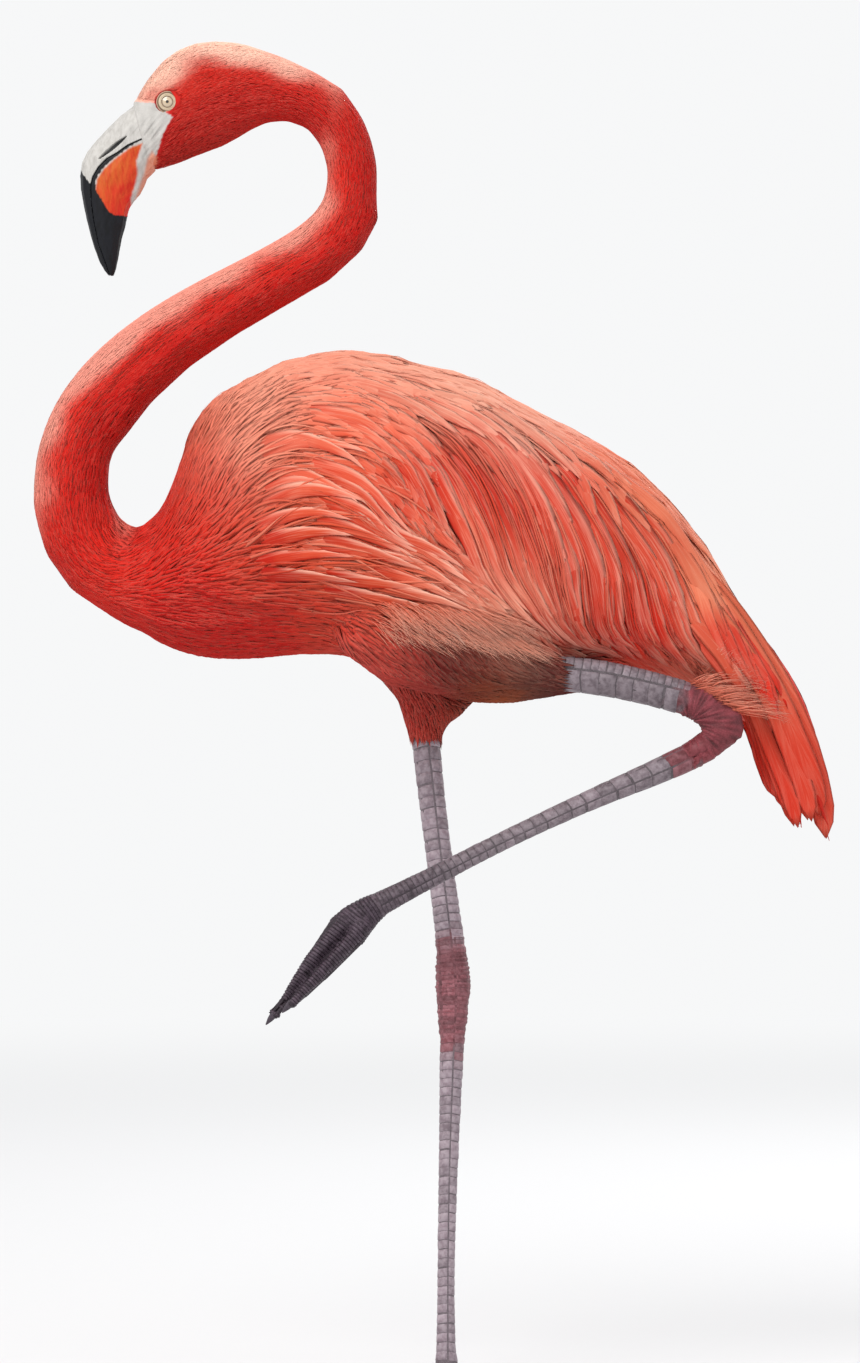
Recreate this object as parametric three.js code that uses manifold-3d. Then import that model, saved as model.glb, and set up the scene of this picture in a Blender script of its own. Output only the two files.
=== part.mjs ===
// American flamingo at life size, standing on its right leg with the left one tucked up across it.
// Millimetres. +Z is up, the bird faces -X and its left side is toward -Y.
// The origin is on the floor, under the joint where the toes of the right foot meet.
import * as THREE from "three";
import { mergeVertices } from "three/addons/utils/BufferGeometryUtils.js";
import Module from "manifold-3d";

const wasm = await Module();
wasm.setup();

// ---------- driving dimensions ----------
const GAP = 0.3; // between pieces that touch
const HALF_GAP = GAP / 2;
const BODY_SIDES = 16;
const RIB_STEPS = 1.7; // rings of the surface for each rib

// A rib is one cross-section of head or trunk: upper point [x, z], lower point [x, z], half width.
const HEAD_RIBS = [
  [[-250.4, 1029.6], [-236.8, 974.4], 16.5],
  [[-229.5, 1060.5], [-217, 980], 24.5],
  [[-207, 1075.5], [-197, 988], 27.5],
  [[-182.5, 1079.2], [-176, 996], 27],
  [[-157, 1075.8], [-157, 1007], 24.5],
];
const TRUNK_RIBS = [
  [[-240, 695.5], [-265, 617], 37],
  [[-229, 706], [-233, 598.5], 48],
  [[-219, 728], [-205, 588], 60],
  [[-203, 765.5], [-177, 584], 71],
  [[-177, 797], [-147, 585], 79],
  [[-139, 819], [-113, 588], 85],
  [[-89, 828.8], [-77, 586.5], 88],
  [[-37, 823], [-37, 574], 88],
  [[11, 815], [3, 553], 86],
  [[59, 791], [46, 548.5], 81],
  [[107, 767], [90, 555], 74],
  [[157, 735], [133, 561.5], 65],
  [[205, 680], [174, 567], 54],
];
const TAIL_RIBS = [
  [[236, 626], [210, 550], 44],
  [[263, 592], [238, 532], 38],
  [[285, 556], [257, 519], 33],
  [[299, 513], [262, 491], 27],
  [[303, 478], [276, 466], 17],
];
// The neck's centre line runs from the nape to the breast as an S: [x, z, radius].
const NECK_LINE = [
  [-124, 1037, 24],
  [-93.5, 1022, 21],
  [-75.5, 984, 20],
  [-78.5, 943, 21.3],
  [-103, 914.5, 22.2],
  [-152, 885, 22.4],
  [-214, 850, 25.5],
  [-268, 804, 28.8],
  [-296, 757, 29.4],
  [-299, 703, 31],
  [-276, 663, 34],
];
const NECK_FLATNESS = 0.93; // the neck's width to its depth
const NECK_CUTS = [4, 6.5, 8.5, 10.5, 12.5, 14.5, 16.5]; // rib numbers where one length ends

const WING = {
  ribs: [18.2, 30.4], // from the bend of the wing to its tips over the tail
  middle: [4, 8], // angle of the axis above the flank at the bend and at the tips, degrees
  above: 72, // how far the upper edge rises from the axis, degrees
  below: 53, // how far the lower edge falls from it
  thick: 9,
  edge: 3,
  sunk: 5, // how deep its inner side starts below the trunk, which then cuts it
  radius: 85, // of the trunk where it lies
  ends: [0.03, 0.97], // where along the leaf shape it starts and stops, so that both ends keep some width
  forward: 0.8, // under 1 the widest place lies nearer the bend
  blunt: 0.6, // under 1 the outline and the swelling are fuller than a sine
  parted: 45, // where the front part, the coverts, ends and the long quills begin
  steps: [12, 6],
};

// Long tail feathers: tip and root [x, y, z], and half depth and half width.
const TAIL_FEATHERS = [
  { tip: [307, 0, 437.5], root: [278, 0, 540], half: [6.5, 12] },
  { tip: [306, -14, 448], root: [272, -14, 540], half: [6.5, 10] },
  { tip: [306, 14, 448], root: [272, 14, 540], half: [6.5, 10] },
  { tip: [284, -17, 449], root: [257, -15, 535], half: [11, 10] },
  { tip: [284, 17, 449], root: [257, 15, 535], half: [11, 10] },
];

// How a tail feather ends: its width at the tip as a share, and how square its end is.
const FEATHER_END = { share: 0.12, square: 5 };

const EYE = { x: -221.8, z: 1028, wide: 8.6, deep: 6.4, sunk: 3.9, surface: 23.4 };

// Bill: a rib for each station from the face to the tip, as on the head.
const BILL_RIBS = [
  [[-250.7, 1029.2], [-237.1, 974.1], 16],
  [[-267, 1013], [-240, 965.5], 15.6],
  [[-281, 998], [-245, 955.5], 15.2],
  [[-290, 985.5], [-252, 947.5], 14.4],
  [[-292.8, 969], [-254.5, 940.5], 13.2],
  [[-290.5, 951], [-256, 932], 12],
  [[-286.5, 932], [-260, 918], 10],
  [[-281.5, 914], [-262, 905], 7.8],
  [[-275.5, 899], [-264.5, 894.5], 5],
  [[-270, 891.6], [-266, 891.2], 2],
];
const BILL_STEPS = 14;
const BILL_SIDES = 12;
// The line where the bill closes, from the gape to the tip.
const MOUTH_LINE = [
  [-226, 1004],
  [-248, 997.6],
  [-261.6, 988.8],
  [-273, 982],
  [-281, 971],
  [-283.5, 961],
  [-282, 940],
  [-277, 914],
  [-270.5, 898],
  [-266, 880],
];
const MOUTH_STEPS = 13;

// Legs: [x, y, z, half depth, half width]
const THIGH_LEFT = [
  [-80, -40, 604, 12, 14],
  [-58, -56, 602, 27, 28],
  [-24, -63, 592, 35, 31],
  [18, -64, 586, 29, 26],
  [52, -62, 580, 20, 20],
  [82, -60, 574, 14.5, 13.5],
];
const SHANK_LEFT = [
  [78, -60, 574.4, 13.4, 11],
  [120, -58, 570, 14, 10.5],
  [155, -56, 563, 13.6, 10.5],
  [186, -54, 554.6, 13.6, 11],
];
const TARSUS_LEFT = [
  [196, -52, 509, 11.2, 9.4],
  [168, -50, 496, 10.2, 8.4],
  [113, -47, 472.5, 8.2, 7.4],
  [50, -44, 443, 7.4, 7],
  [0, -41, 417.5, 7.8, 7],
  [-32, -39, 401, 8.6, 7.6],
  [-52, -38, 390.6, 9.9, 8.4],
];
// The folded ankle, a ball with a leg end running into it from above and one from below.
const HOCK_LEFT = {
  x: 219,
  y: -53,
  z: 531.5,
  radius: 17.2,
  flat: 0.8,
  upper: [
    [184, -54, 555.6, 13.4, 11.2],
    [202.5, -54, 547.0, 13.4, 12.2],
  ],
  lower: [
    [194, -52, 508, 11.2, 9.6],
    [210.5, -52, 519.2, 12, 11],
  ],
};
const THIGH_RIGHT = [
  [-10, 40, 606, 40, 26],
  [-11, 38, 582, 46, 26],
  [-11, 34, 558, 37.5, 23],
  [-15.5, 30, 540, 21.5, 18],
  [-17, 26, 523, 13, 12.6],
];
const SHANK_RIGHT = [
  [-17, 26.4, 527, 11.4, 9.8],
  [-11.2, 23, 472, 10.6, 9.2],
  [-4.4, 20, 418, 10.4, 9.2],
  [2.4, 17, 366, 11.2, 9.6],
];
const HOCK_RIGHT = [
  [2.3, 17.1, 368, 11, 9.4],
  [4.6, 16, 345, 12.6, 11.4],
  [5.8, 15.2, 326, 14.2, 12.6],
  [5.4, 14.2, 302, 12.4, 11],
  [5, 12.9, 275, 9.6, 8.6],
];
const TARSUS_RIGHT = [
  [5, 13, 277.7, 9.8, 8.8],
  [3, 10, 216, 8.4, 7.4],
  [1.2, 6.5, 152, 7.4, 6.8],
  [0, 3, 80, 6.8, 6.4],
  [0, 0.5, 32, 8, 7.2],
];
const LEG_SIDES = 10;

// Feet: three webbed front toes and a short hind one, with a claw on each.
const TOES = [
  { name: "inner", turn: -31, length: 88, radius: 6.4 },
  { name: "middle", turn: 0, length: 101, radius: 6.8 },
  { name: "outer", turn: 31, length: 91, radius: 6.4 },
  { name: "hind", turn: 180, length: 15, radius: 3.8 },
];
const CLAW = { length: 8, radius: 3.7, tip: 0.18, flat: 0.8 };
// The web starts a little ahead of the joint and ends short of the claws; its edge is hollow.
const WEB = { thick: 3, start: 8, reach: 0.93, scallop: 0.45 };
const TOE_JOINT = 34; // the most between two swellings of a toe
const TOE_SWELLING = 0.14;
const TOE_TIP = 0.6; // a toe's radius at the claw, as a share of that at its root
const TOE_SIDES = 7;
const TOE_LIFT = 0.72; // how high the middle of a toe lies above the floor, as a share of its radius
const CLAW_LIFT = 0.9;
const ANKLE_RIGHT = [
  [0, 0.6, 34, 7.6, 7],
  [0.5, 0.2, 20, 9.5, 9],
  [0, 0, 3, 12, 11],
];
// The lifted foot hangs from its joint with the toes closed: out, across and lift shift a toe's root.
const HANGING_FOOT = {
  joint: [-66.5, -38, 383.5],
  pitch: 50.5,
  toes: {
    inner: { out: 0, across: 5.5, lift: -8, yaw: 2.6, pitch: -4 },
    middle: { out: 8, across: 0, lift: 5.5, yaw: 0, pitch: 1.5 },
    outer: { out: 2, across: -5, lift: -7.5, yaw: -1.6, pitch: -3.5 },
    hind: { out: 2, across: 12.5, lift: -6, yaw: 8, pitch: 18 },
  },
};
// The closed web and the joint: [share of the middle toe, drop below its line, half depth, half width].
const HANGING_WEB = [
  [-0.13, 6, 10.2, 8.6],
  [0, 2.2, 13, 9.4],
  [0.16, 0, 16.4, 8.6],
  [0.4, 0, 14.2, 6],
  [0.68, 0, 11, 4],
  [0.94, 0, 6, 2.6],
];

// ---------- materials ----------
const finish = (color, roughness) => new THREE.MeshStandardMaterial({ color, roughness, metalness: 0 });
const SCARLET = finish(0xcf3a26, 0.85);
const SALMON = finish(0xea7e5c, 0.85);
const DEEP_RED = finish(0xb02c20, 0.85);
const LEG_GREY = finish(0x8f8083, 0.6);
const JOINT_RED = finish(0x934a4c, 0.6);
const BILL_PALE = finish(0xdad5cb, 0.35);
const BILL_ORANGE = finish(0xe0703a, 0.35);
const CLAW_DARK = finish(0x3a3236, 0.4);
const EYE_CREAM = finish(0xe8dcae, 0.08);

// ---------- shape helpers ----------
const flamingo = new THREE.Group();
flamingo.name = "american_flamingo";

function add(name, geometry, material) {
  const mesh = new THREE.Mesh(geometry, material);
  mesh.name = name;
  flamingo.add(mesh);
}

function bare(geometry) {
  const copy = geometry.clone();
  copy.deleteAttribute("normal");
  copy.deleteAttribute("uv");
  return mergeVertices(copy, 1e-3);
}

function solid(geometry) {
  const merged = bare(geometry);
  return new wasm.Manifold(
    new wasm.Mesh({
      numProp: 3,
      vertProperties: merged.attributes.position.array,
      triVerts: new Uint32Array(merged.index.array),
    }),
  );
}

function surface(made) {
  const mesh = made.getMesh();
  return new THREE.BufferGeometry()
    .setAttribute("position", new THREE.BufferAttribute(new Float32Array(mesh.vertProperties), 3))
    .setIndex(new THREE.BufferAttribute(new Uint32Array(mesh.triVerts), 1));
}

const largest = (made) => made.decompose().reduce((a, b) => (a.volume() > b.volume() ? a : b));

// The same shape on the other side of the body.
function mirrored(geometry) {
  return turnedInsideOut(bare(geometry).scale(1, -1, 1));
}

// Six times the volume inside a closed geometry: negative where its faces point inwards.
function signedVolume(geometry) {
  const position = geometry.attributes.position;
  const index = geometry.index.array;
  const [a, b, c] = [0, 1, 2].map(() => new THREE.Vector3());
  let sum = 0;
  for (let i = 0; i < index.length; i += 3) {
    a.fromBufferAttribute(position, index[i]);
    b.fromBufferAttribute(position, index[i + 1]);
    c.fromBufferAttribute(position, index[i + 2]);
    sum += a.dot(b.cross(c));
  }
  return sum;
}

function turnedInsideOut(geometry) {
  const index = geometry.index.array;
  for (let i = 0; i < index.length; i += 3) {
    [index[i + 1], index[i + 2]] = [index[i + 2], index[i + 1]];
  }
  return geometry;
}

// Moves each point of a closed geometry to where `place` sends it.
function bent(geometry, place) {
  const result = bare(geometry);
  const position = result.attributes.position;
  const point = new THREE.Vector3();
  for (let i = 0; i < position.count; i += 1) {
    place(point.fromBufferAttribute(position, i));
    position.setXYZ(i, point.x, point.y, point.z);
  }
  return signedVolume(result) < 0 ? turnedInsideOut(result) : result;
}

// A closed tube of `steps` rings, its section at each share t given by `section`.
function sweep(section, from, to, steps, sides) {
  return bent(new THREE.CylinderGeometry(1, 1, 1, sides, steps), (p) => {
    const s = section(THREE.MathUtils.lerp(from, to, 0.5 - p.y));
    const across = p.x;
    const up = p.z;
    p.copy(s.centre).addScaledVector(s.rise, up).addScaledVector(s.side, across);
  });
}

// ---------- head, neck, trunk and tail: one smooth shape, parted by thin cuts ----------
const flat = ([x, z]) => new THREE.Vector3(x, 0, z);
const madeRib = ([top, low, half]) => ({ top: flat(top), low: flat(low), half });

function neckRibs() {
  const line = new THREE.CatmullRomCurve3(NECK_LINE.map(flat));
  return NECK_LINE.map(([, , radius], i) => {
    const share = i / (NECK_LINE.length - 1);
    const along = line.getTangent(share);
    const out = new THREE.Vector3(-along.z, 0, along.x).multiplyScalar(radius);
    const centre = line.getPoint(share);
    return {
      top: centre.clone().add(out),
      low: centre.clone().sub(out),
      half: radius * NECK_FLATNESS,
    };
  });
}

const ribs = [...HEAD_RIBS.map(madeRib), ...neckRibs(), ...TRUNK_RIBS.map(madeRib), ...TAIL_RIBS.map(madeRib)];
const topLine = new THREE.CatmullRomCurve3(ribs.map((r) => r.top));
const lowLine = new THREE.CatmullRomCurve3(ribs.map((r) => r.low));
const halfLine = new THREE.CatmullRomCurve3(ribs.map((r, i) => new THREE.Vector3(i, 0, r.half)));
const LAST_RIB = ribs.length - 1;
const HEAD_END = NECK_CUTS[0];
const NECK_END = NECK_CUTS[NECK_CUTS.length - 1];
const TRUNK_END = LAST_RIB - TAIL_RIBS.length;

// The section at rib number n, in fractions, grown outwards by `grow`.
function bodySection(n, grow = 0) {
  const share = THREE.MathUtils.clamp(n / LAST_RIB, 0, 1);
  const top = topLine.getPoint(share);
  const low = lowLine.getPoint(share);
  const rise = top.clone().sub(low).multiplyScalar(0.5);
  return {
    centre: top.add(low).multiplyScalar(0.5),
    rise: rise.multiplyScalar(1 + grow / rise.length()),
    side: new THREE.Vector3(0, halfLine.getPoint(share).z + grow, 0),
  };
}

// Rib numbers that leave half a gap to each side of the cut at n.
function cutEdges(n) {
  const reach = 0.01;
  const speed = bodySection(n - reach).centre.distanceTo(bodySection(n + reach).centre) / (2 * reach);
  return [n - HALF_GAP / speed, n + HALF_GAP / speed];
}

function bodyLength(from, to, grow = 0) {
  const steps = Math.max(2, Math.round((to - from) * RIB_STEPS));
  return sweep((n) => bodySection(n, grow), from, to, steps, BODY_SIDES);
}

const headSolid = solid(bodyLength(0, cutEdges(HEAD_END)[0]));

NECK_CUTS.slice(0, -1).forEach((cut, i) => {
  const piece = bodyLength(cutEdges(cut)[1], cutEdges(NECK_CUTS[i + 1])[0]);
  add(`neck_${i + 1}`, piece, SCARLET);
});

const trunkSpan = [cutEdges(NECK_END)[1], cutEdges(TRUNK_END)[0]];
add("trunk", bodyLength(...trunkSpan), SALMON);
const trunkGrown = solid(bodyLength(...trunkSpan, GAP));

// ---------- eyes, each in its own socket ----------
function eyeball(side, grow) {
  return new THREE.SphereGeometry(1, 12, 6)
    .rotateX(Math.PI / 2)
    .scale(EYE.wide + grow, EYE.deep + grow, EYE.wide + grow)
    .translate(EYE.x, side * (EYE.surface - EYE.sunk), EYE.z);
}

add("eye_left", eyeball(-1, 0), EYE_CREAM);
add("eye_right", eyeball(1, 0), EYE_CREAM);
const head = headSolid.subtract(solid(eyeball(-1, GAP))).subtract(solid(eyeball(1, GAP)));
add("head", surface(head), SCARLET);

// ---------- bill, parted along the mouth ----------
const billTop = new THREE.CatmullRomCurve3(BILL_RIBS.map(([top]) => flat(top)));
const billLow = new THREE.CatmullRomCurve3(BILL_RIBS.map(([, low]) => flat(low)));
const billHalf = new THREE.CatmullRomCurve3(BILL_RIBS.map(([, , half], i) => new THREE.Vector3(i, 0, half)));

function billSection(share) {
  const top = billTop.getPoint(share);
  const low = billLow.getPoint(share);
  return {
    centre: top.clone().add(low).multiplyScalar(0.5),
    rise: top.clone().sub(low).multiplyScalar(0.5),
    side: new THREE.Vector3(0, billHalf.getPoint(share).z, 0),
  };
}

// All that lies above and in front of the mouth line, with the line moved back and down by `shift`.
function frontOfMouth(shift) {
  const reach = 60;
  const line = new THREE.SplineCurve(MOUTH_LINE.map(([x, z]) => new THREE.Vector2(x + shift, z - shift)));
  const points = line.getPoints(MOUTH_STEPS);
  const last = points[points.length - 1];
  points.push(new THREE.Vector2(last.x - reach, last.y));
  points.push(new THREE.Vector2(last.x - reach, points[0].y + reach));
  points.push(new THREE.Vector2(points[0].x, points[0].y + reach));
  return new THREE.ExtrudeGeometry(new THREE.Shape(points), { depth: reach, bevelEnabled: false })
    .translate(0, 0, -reach / 2)
    .rotateX(Math.PI / 2);
}

const bill = solid(sweep(billSection, 0, 1, BILL_STEPS, BILL_SIDES));
add("bill_upper", surface(largest(bill.intersect(solid(frontOfMouth(-HALF_GAP))))), BILL_PALE);
add("bill_lower", surface(largest(bill.subtract(solid(frontOfMouth(HALF_GAP))))), BILL_ORANGE);

// ---------- tail: its body and the long feathers that end it ----------
function tailFeather({ tip, root, half: [deep, wide] }, grow = 0) {
  const end = new THREE.Vector3(...tip);
  const start = new THREE.Vector3(...root);
  const along = end.clone().sub(start).normalize();
  const side = new THREE.Vector3(0, 1, 0);
  const up = side.clone().cross(along).normalize();
  const section = (t) => {
    const taper = Math.max(FEATHER_END.share, Math.sqrt(1 - Math.pow(t, FEATHER_END.square)));
    return {
      centre: start.clone().lerp(end, t),
      rise: up.clone().multiplyScalar(-deep * taper - grow),
      side: side.clone().multiplyScalar(wide * taper + grow),
    };
  };
  return sweep(section, 0, 1, 4, 6);
}

const tailSpan = [cutEdges(TRUNK_END)[1], LAST_RIB];
const withFeathers = (made, grow) =>
  TAIL_FEATHERS.reduce((whole, feather) => whole.add(solid(tailFeather(feather, grow))), made);
const tail = withFeathers(solid(bodyLength(...tailSpan)), 0);
const tailGrown = withFeathers(solid(bodyLength(...tailSpan, GAP)), GAP);
add("tail", surface(largest(tail)), DEEP_RED);

// ---------- folded wings, each a thin lens that lies on the trunk ----------
function wing(grow = 0) {
  const [long, across] = WING.steps;
  const wider = THREE.MathUtils.radToDeg(grow / WING.radius);
  return bent(new THREE.BoxGeometry(1, 1, 1, long, across, 1), (p) => {
    const s = p.x + 0.5;
    const a = p.y + 0.5;
    const outer = p.z > 0;
    const section = bodySection(THREE.MathUtils.lerp(...WING.ribs, s), GAP);
    const along = Math.pow(THREE.MathUtils.lerp(...WING.ends, s), WING.forward);
    const leaf = Math.pow(Math.sin(Math.PI * along), WING.blunt);
    const axis = THREE.MathUtils.lerp(...WING.middle, s);
    const spread = THREE.MathUtils.lerp(-WING.below - wider, WING.above + wider, a);
    const turn = THREE.MathUtils.degToRad(axis + leaf * spread);
    const swell = Math.pow(Math.max(0, Math.sin(Math.PI * s) * Math.sin(Math.PI * a)), WING.blunt);
    const rise = section.rise.length();
    const wide = section.side.y;
    const up = section.rise.clone().normalize();
    const lift = outer ? WING.edge + WING.thick * swell + grow : -WING.sunk;
    const out = new THREE.Vector3(0, -Math.cos(turn) / wide, 0)
      .addScaledVector(up, Math.sin(turn) / rise)
      .normalize();
    p.copy(section.centre)
      .addScaledVector(up, rise * Math.sin(turn))
      .add(new THREE.Vector3(0, -wide * Math.cos(turn), 0))
      .addScaledVector(out, lift);
  });
}

const bodyGrown = trunkGrown.add(tailGrown);
[["wing_left", wing()], ["wing_right", mirrored(wing())]].forEach(([name, lens]) => {
  const leaf = largest(solid(lens).subtract(bodyGrown));
  const front = leaf.trimByPlane([-1, 0, 0], HALF_GAP - WING.parted);
  const rear = leaf.trimByPlane([1, 0, 0], HALF_GAP + WING.parted);
  add(`${name}_front`, surface(largest(front)), SALMON);
  add(`${name}_rear`, surface(largest(rear)), SALMON);
});

// ---------- legs ----------
// A limb through [x, y, z, half depth, half width] stations, grown all round by `grow`.
function limb(stations, { steps = stations.length * 2, sides = LEG_SIDES, grow = 0 } = {}) {
  const line = new THREE.CatmullRomCurve3(stations.map(([x, y, z]) => new THREE.Vector3(x, y, z)));
  const size = new THREE.CatmullRomCurve3(stations.map(([, , , d, w], i) => new THREE.Vector3(i * 10, d, w)));
  const over = grow / line.getLength();
  const section = (share) => {
    const t = THREE.MathUtils.clamp(share, 0, 1);
    const along = line.getTangent(t);
    const rise = new THREE.Vector3(0, 1, 0).cross(along).normalize();
    const side = along.clone().cross(rise).normalize();
    const { y: deep, z: wide } = size.getPoint(t);
    return {
      centre: line.getPoint(t).addScaledVector(along, (share - t) * line.getLength()),
      rise: rise.multiplyScalar(-deep - grow),
      side: side.multiplyScalar(wide + grow),
    };
  };
  return sweep(section, -over, 1 + over, steps, sides);
}

const leg = (stations, grow = 0) => solid(limb(stations, { grow }));

// Adds a piece, with the grown shapes of the pieces it meets cut away.
function addCut(name, made, met, material) {
  add(name, surface(largest(met.reduce((rest, shape) => rest.subtract(shape), made))), material);
}

// A thigh lies against the trunk and runs under the folded wing.
function addThigh(name, stations, folded) {
  addCut(name, solid(limb(stations, { steps: 6 })), [trunkGrown, solid(folded)], DEEP_RED);
}

// The bent ankle: the two leg ends run into one round joint.
function bentHock() {
  const { x, y, z, radius, flat: flatness, upper, lower } = HOCK_LEFT;
  const into = [x, y, z, radius * flatness, radius * 0.7];
  const ball = new THREE.SphereGeometry(radius, 10, 6).scale(1, flatness, 1).translate(x, y, z);
  return [upper, lower].reduce((made, ends) => made.add(solid(limb([...ends, into], { steps: 4 }))), solid(ball));
}

addThigh("thigh_left", THIGH_LEFT, wing(2 * GAP));
addThigh("thigh_right", THIGH_RIGHT, mirrored(wing(2 * GAP)));
addCut("shank_left", leg(SHANK_LEFT), [leg(THIGH_LEFT, GAP)], LEG_GREY);
addCut("shank_right", leg(SHANK_RIGHT), [leg(THIGH_RIGHT, GAP)], LEG_GREY);
addCut("tarsus_left", leg(TARSUS_LEFT), [], LEG_GREY);
addCut("tarsus_right", leg(TARSUS_RIGHT), [], LEG_GREY);
addCut("hock_left", bentHock(), [leg(SHANK_LEFT, GAP), leg(TARSUS_LEFT, GAP)], JOINT_RED);
addCut("hock_right", leg(HOCK_RIGHT), [leg(SHANK_RIGHT, GAP), leg(TARSUS_RIGHT, GAP)], JOINT_RED);

// ---------- feet ----------
// A toe that points along -X from the origin, round or with its sole flat on the floor.
function toe({ length, radius }, rise = 0) {
  const joints = Math.ceil(length / TOE_JOINT);
  const section = (t) => {
    const swell = 1 + TOE_SWELLING * Math.cos(2 * Math.PI * joints * t);
    const r = radius * THREE.MathUtils.lerp(1, TOE_TIP, t) * swell;
    return {
      centre: new THREE.Vector3(-length * t, 0, r * rise),
      rise: new THREE.Vector3(0, 0, r),
      side: new THREE.Vector3(0, -r, 0),
    };
  };
  return sweep(section, 0, 1, 2 * joints, TOE_SIDES);
}

function claw({ length }, radius, rise) {
  const section = (t) => {
    const r = radius * THREE.MathUtils.lerp(1, CLAW.tip, t);
    return {
      centre: new THREE.Vector3(-length - GAP - CLAW.length * t, 0, rise * r),
      rise: new THREE.Vector3(0, 0, r),
      side: new THREE.Vector3(0, -r * CLAW.flat, 0),
    };
  };
  return sweep(section, 0, 1, 3, 6);
}

const floorBox = new THREE.BoxGeometry(400, 400, 100).translate(0, 0, -50);
const floorSolid = solid(floorBox);

function webBetween(a, b) {
  const end = (t) => {
    const turn = THREE.MathUtils.degToRad(t.turn);
    const reach = t.length * WEB.reach;
    return new THREE.Vector2(-reach * Math.cos(turn), reach * Math.sin(turn));
  };
  const shape = new THREE.Shape();
  shape.moveTo(WEB.start, 0);
  const from = end(a);
  const to = end(b);
  const hollow = from.clone().add(to).multiplyScalar(WEB.scallop);
  shape.lineTo(from.x, from.y);
  shape.quadraticCurveTo(hollow.x, hollow.y, to.x, to.y);
  shape.closePath();
  return new THREE.ExtrudeGeometry(shape, { depth: WEB.thick, bevelEnabled: false, curveSegments: 6 });
}

function standingFoot() {
  let made = solid(limb(ANKLE_RIGHT, { steps: 4 }));
  TOES.forEach((t) => {
    const turned = toe(t, TOE_LIFT).rotateZ(-THREE.MathUtils.degToRad(t.turn));
    made = made.add(solid(turned));
  });
  made = made.add(solid(webBetween(TOES[1], TOES[0]))).add(solid(webBetween(TOES[2], TOES[1])));
  addCut("foot_right", made, [floorSolid, leg(TARSUS_RIGHT, GAP)], LEG_GREY);
  TOES.forEach((t) => {
    const turned = claw(t, CLAW.radius, CLAW_LIFT).rotateZ(-THREE.MathUtils.degToRad(t.turn));
    addCut(`claw_right_${t.name}`, solid(turned), [floorSolid], CLAW_DARK);
  });
}
standingFoot();

function hangingFoot() {
  const { joint, pitch, toes } = HANGING_FOOT;
  const [x, y, z] = joint;
  const place = (geometry, name) => {
    const closed = toes[name];
    return geometry
      .translate(-closed.out, closed.across, closed.lift)
      .rotateZ(THREE.MathUtils.degToRad(-closed.yaw))
      .rotateY(-THREE.MathUtils.degToRad(pitch + closed.pitch))
      .translate(x, y, z);
  };
  const down = THREE.MathUtils.degToRad(pitch);
  const reach = TOES[1].length;
  const web = HANGING_WEB.map(([along, drop, deep, wide]) => [
    x - reach * along * Math.cos(down) + drop * Math.sin(down),
    y,
    z - reach * along * Math.sin(down) - drop * Math.cos(down),
    deep,
    wide,
  ]);
  let made = solid(limb(web, { steps: 7 }));
  TOES.forEach((t) => {
    made = made.add(solid(place(toe(t), t.name)));
  });
  addCut("foot_left", made, [leg(TARSUS_LEFT, GAP)], LEG_GREY);
  TOES.forEach((t) => {
    addCut(`claw_left_${t.name}`, solid(place(claw(t, CLAW.radius * 0.9, 0), t.name)), [], CLAW_DARK);
  });
}
hangingFoot();

export default flamingo;
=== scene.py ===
"""American flamingo at life size: one skin with its plumage, scutes, bill, eyes and claws.

Shapes are worked out in millimetres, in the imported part's own frame: +Z is up, the bird faces -X,
and its left side is toward -Y. Only mesh_from turns them into metres.
"""
import math
import bmesh
import bpy
import numpy as np
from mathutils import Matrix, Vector
from mathutils.bvhtree import BVHTree
from mathutils.kdtree import KDTree


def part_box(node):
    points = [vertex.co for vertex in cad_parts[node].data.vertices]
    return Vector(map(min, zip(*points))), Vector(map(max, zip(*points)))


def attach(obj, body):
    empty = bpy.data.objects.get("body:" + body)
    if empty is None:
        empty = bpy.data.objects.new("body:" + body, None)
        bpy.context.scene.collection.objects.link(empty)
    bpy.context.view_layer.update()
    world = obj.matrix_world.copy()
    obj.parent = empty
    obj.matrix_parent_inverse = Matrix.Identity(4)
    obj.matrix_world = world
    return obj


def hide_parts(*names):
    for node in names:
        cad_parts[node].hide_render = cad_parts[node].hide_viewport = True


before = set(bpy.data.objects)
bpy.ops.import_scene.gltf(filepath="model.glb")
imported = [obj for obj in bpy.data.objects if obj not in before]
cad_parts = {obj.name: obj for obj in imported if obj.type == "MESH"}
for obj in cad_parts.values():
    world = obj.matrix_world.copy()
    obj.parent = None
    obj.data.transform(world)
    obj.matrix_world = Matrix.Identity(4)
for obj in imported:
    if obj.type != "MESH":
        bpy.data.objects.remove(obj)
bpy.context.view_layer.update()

MM = 0.001
CURVE_STEPS = 16  # how many steps a smooth curve takes from one of its points to the next

# ---------- the bird's plan ----------
# Middle line of head, neck, trunk and tail, seen from the side: x, z.
SPINE = [
    (-244, 1002), (-202, 1032), (-157, 1041), (-124, 1037), (-94, 1022), (-76, 984), (-79, 943),
    (-103, 914), (-152, 885), (-214, 850), (-268, 804), (-296, 757), (-299, 703), (-276, 663),
    (-231, 652), (-162, 691), (-83, 706), (7, 684), (99, 661), (190, 623), (250, 562), (290, 472),
]
# Where the parts of the body end, counted in points of the middle line.
NAPE = 2.5
MIDDLE_NECK = (6.2, 9.8)
NECK_BASE = 13.2
RUMP = 18.6

EYE_OPENING = 4.5  # inner edge of the lids
EYE_RINGS = 10.4  # outer edge of the folds round the eye
EYE_ROWS = 45
EYE_SEGMENTS = 64
LID_SEGMENTS = 96
# The creases of the lids, in the second list, are painted dark brown as their shade.
LID_RIDGES = [(5.0, 0.3, 0.2), (6.4, 0.75, 0.65), (8.6, 0.55, 0.4)]  # radius, width and height of each
LID_CREASE_SHADE = [(4.5, 0.35, 0.95), (5.7, 0.14, 0.5), (7.3, 0.3, 0.9), (7.95, 0.4, 0.9)]  # and depth of colour

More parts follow.
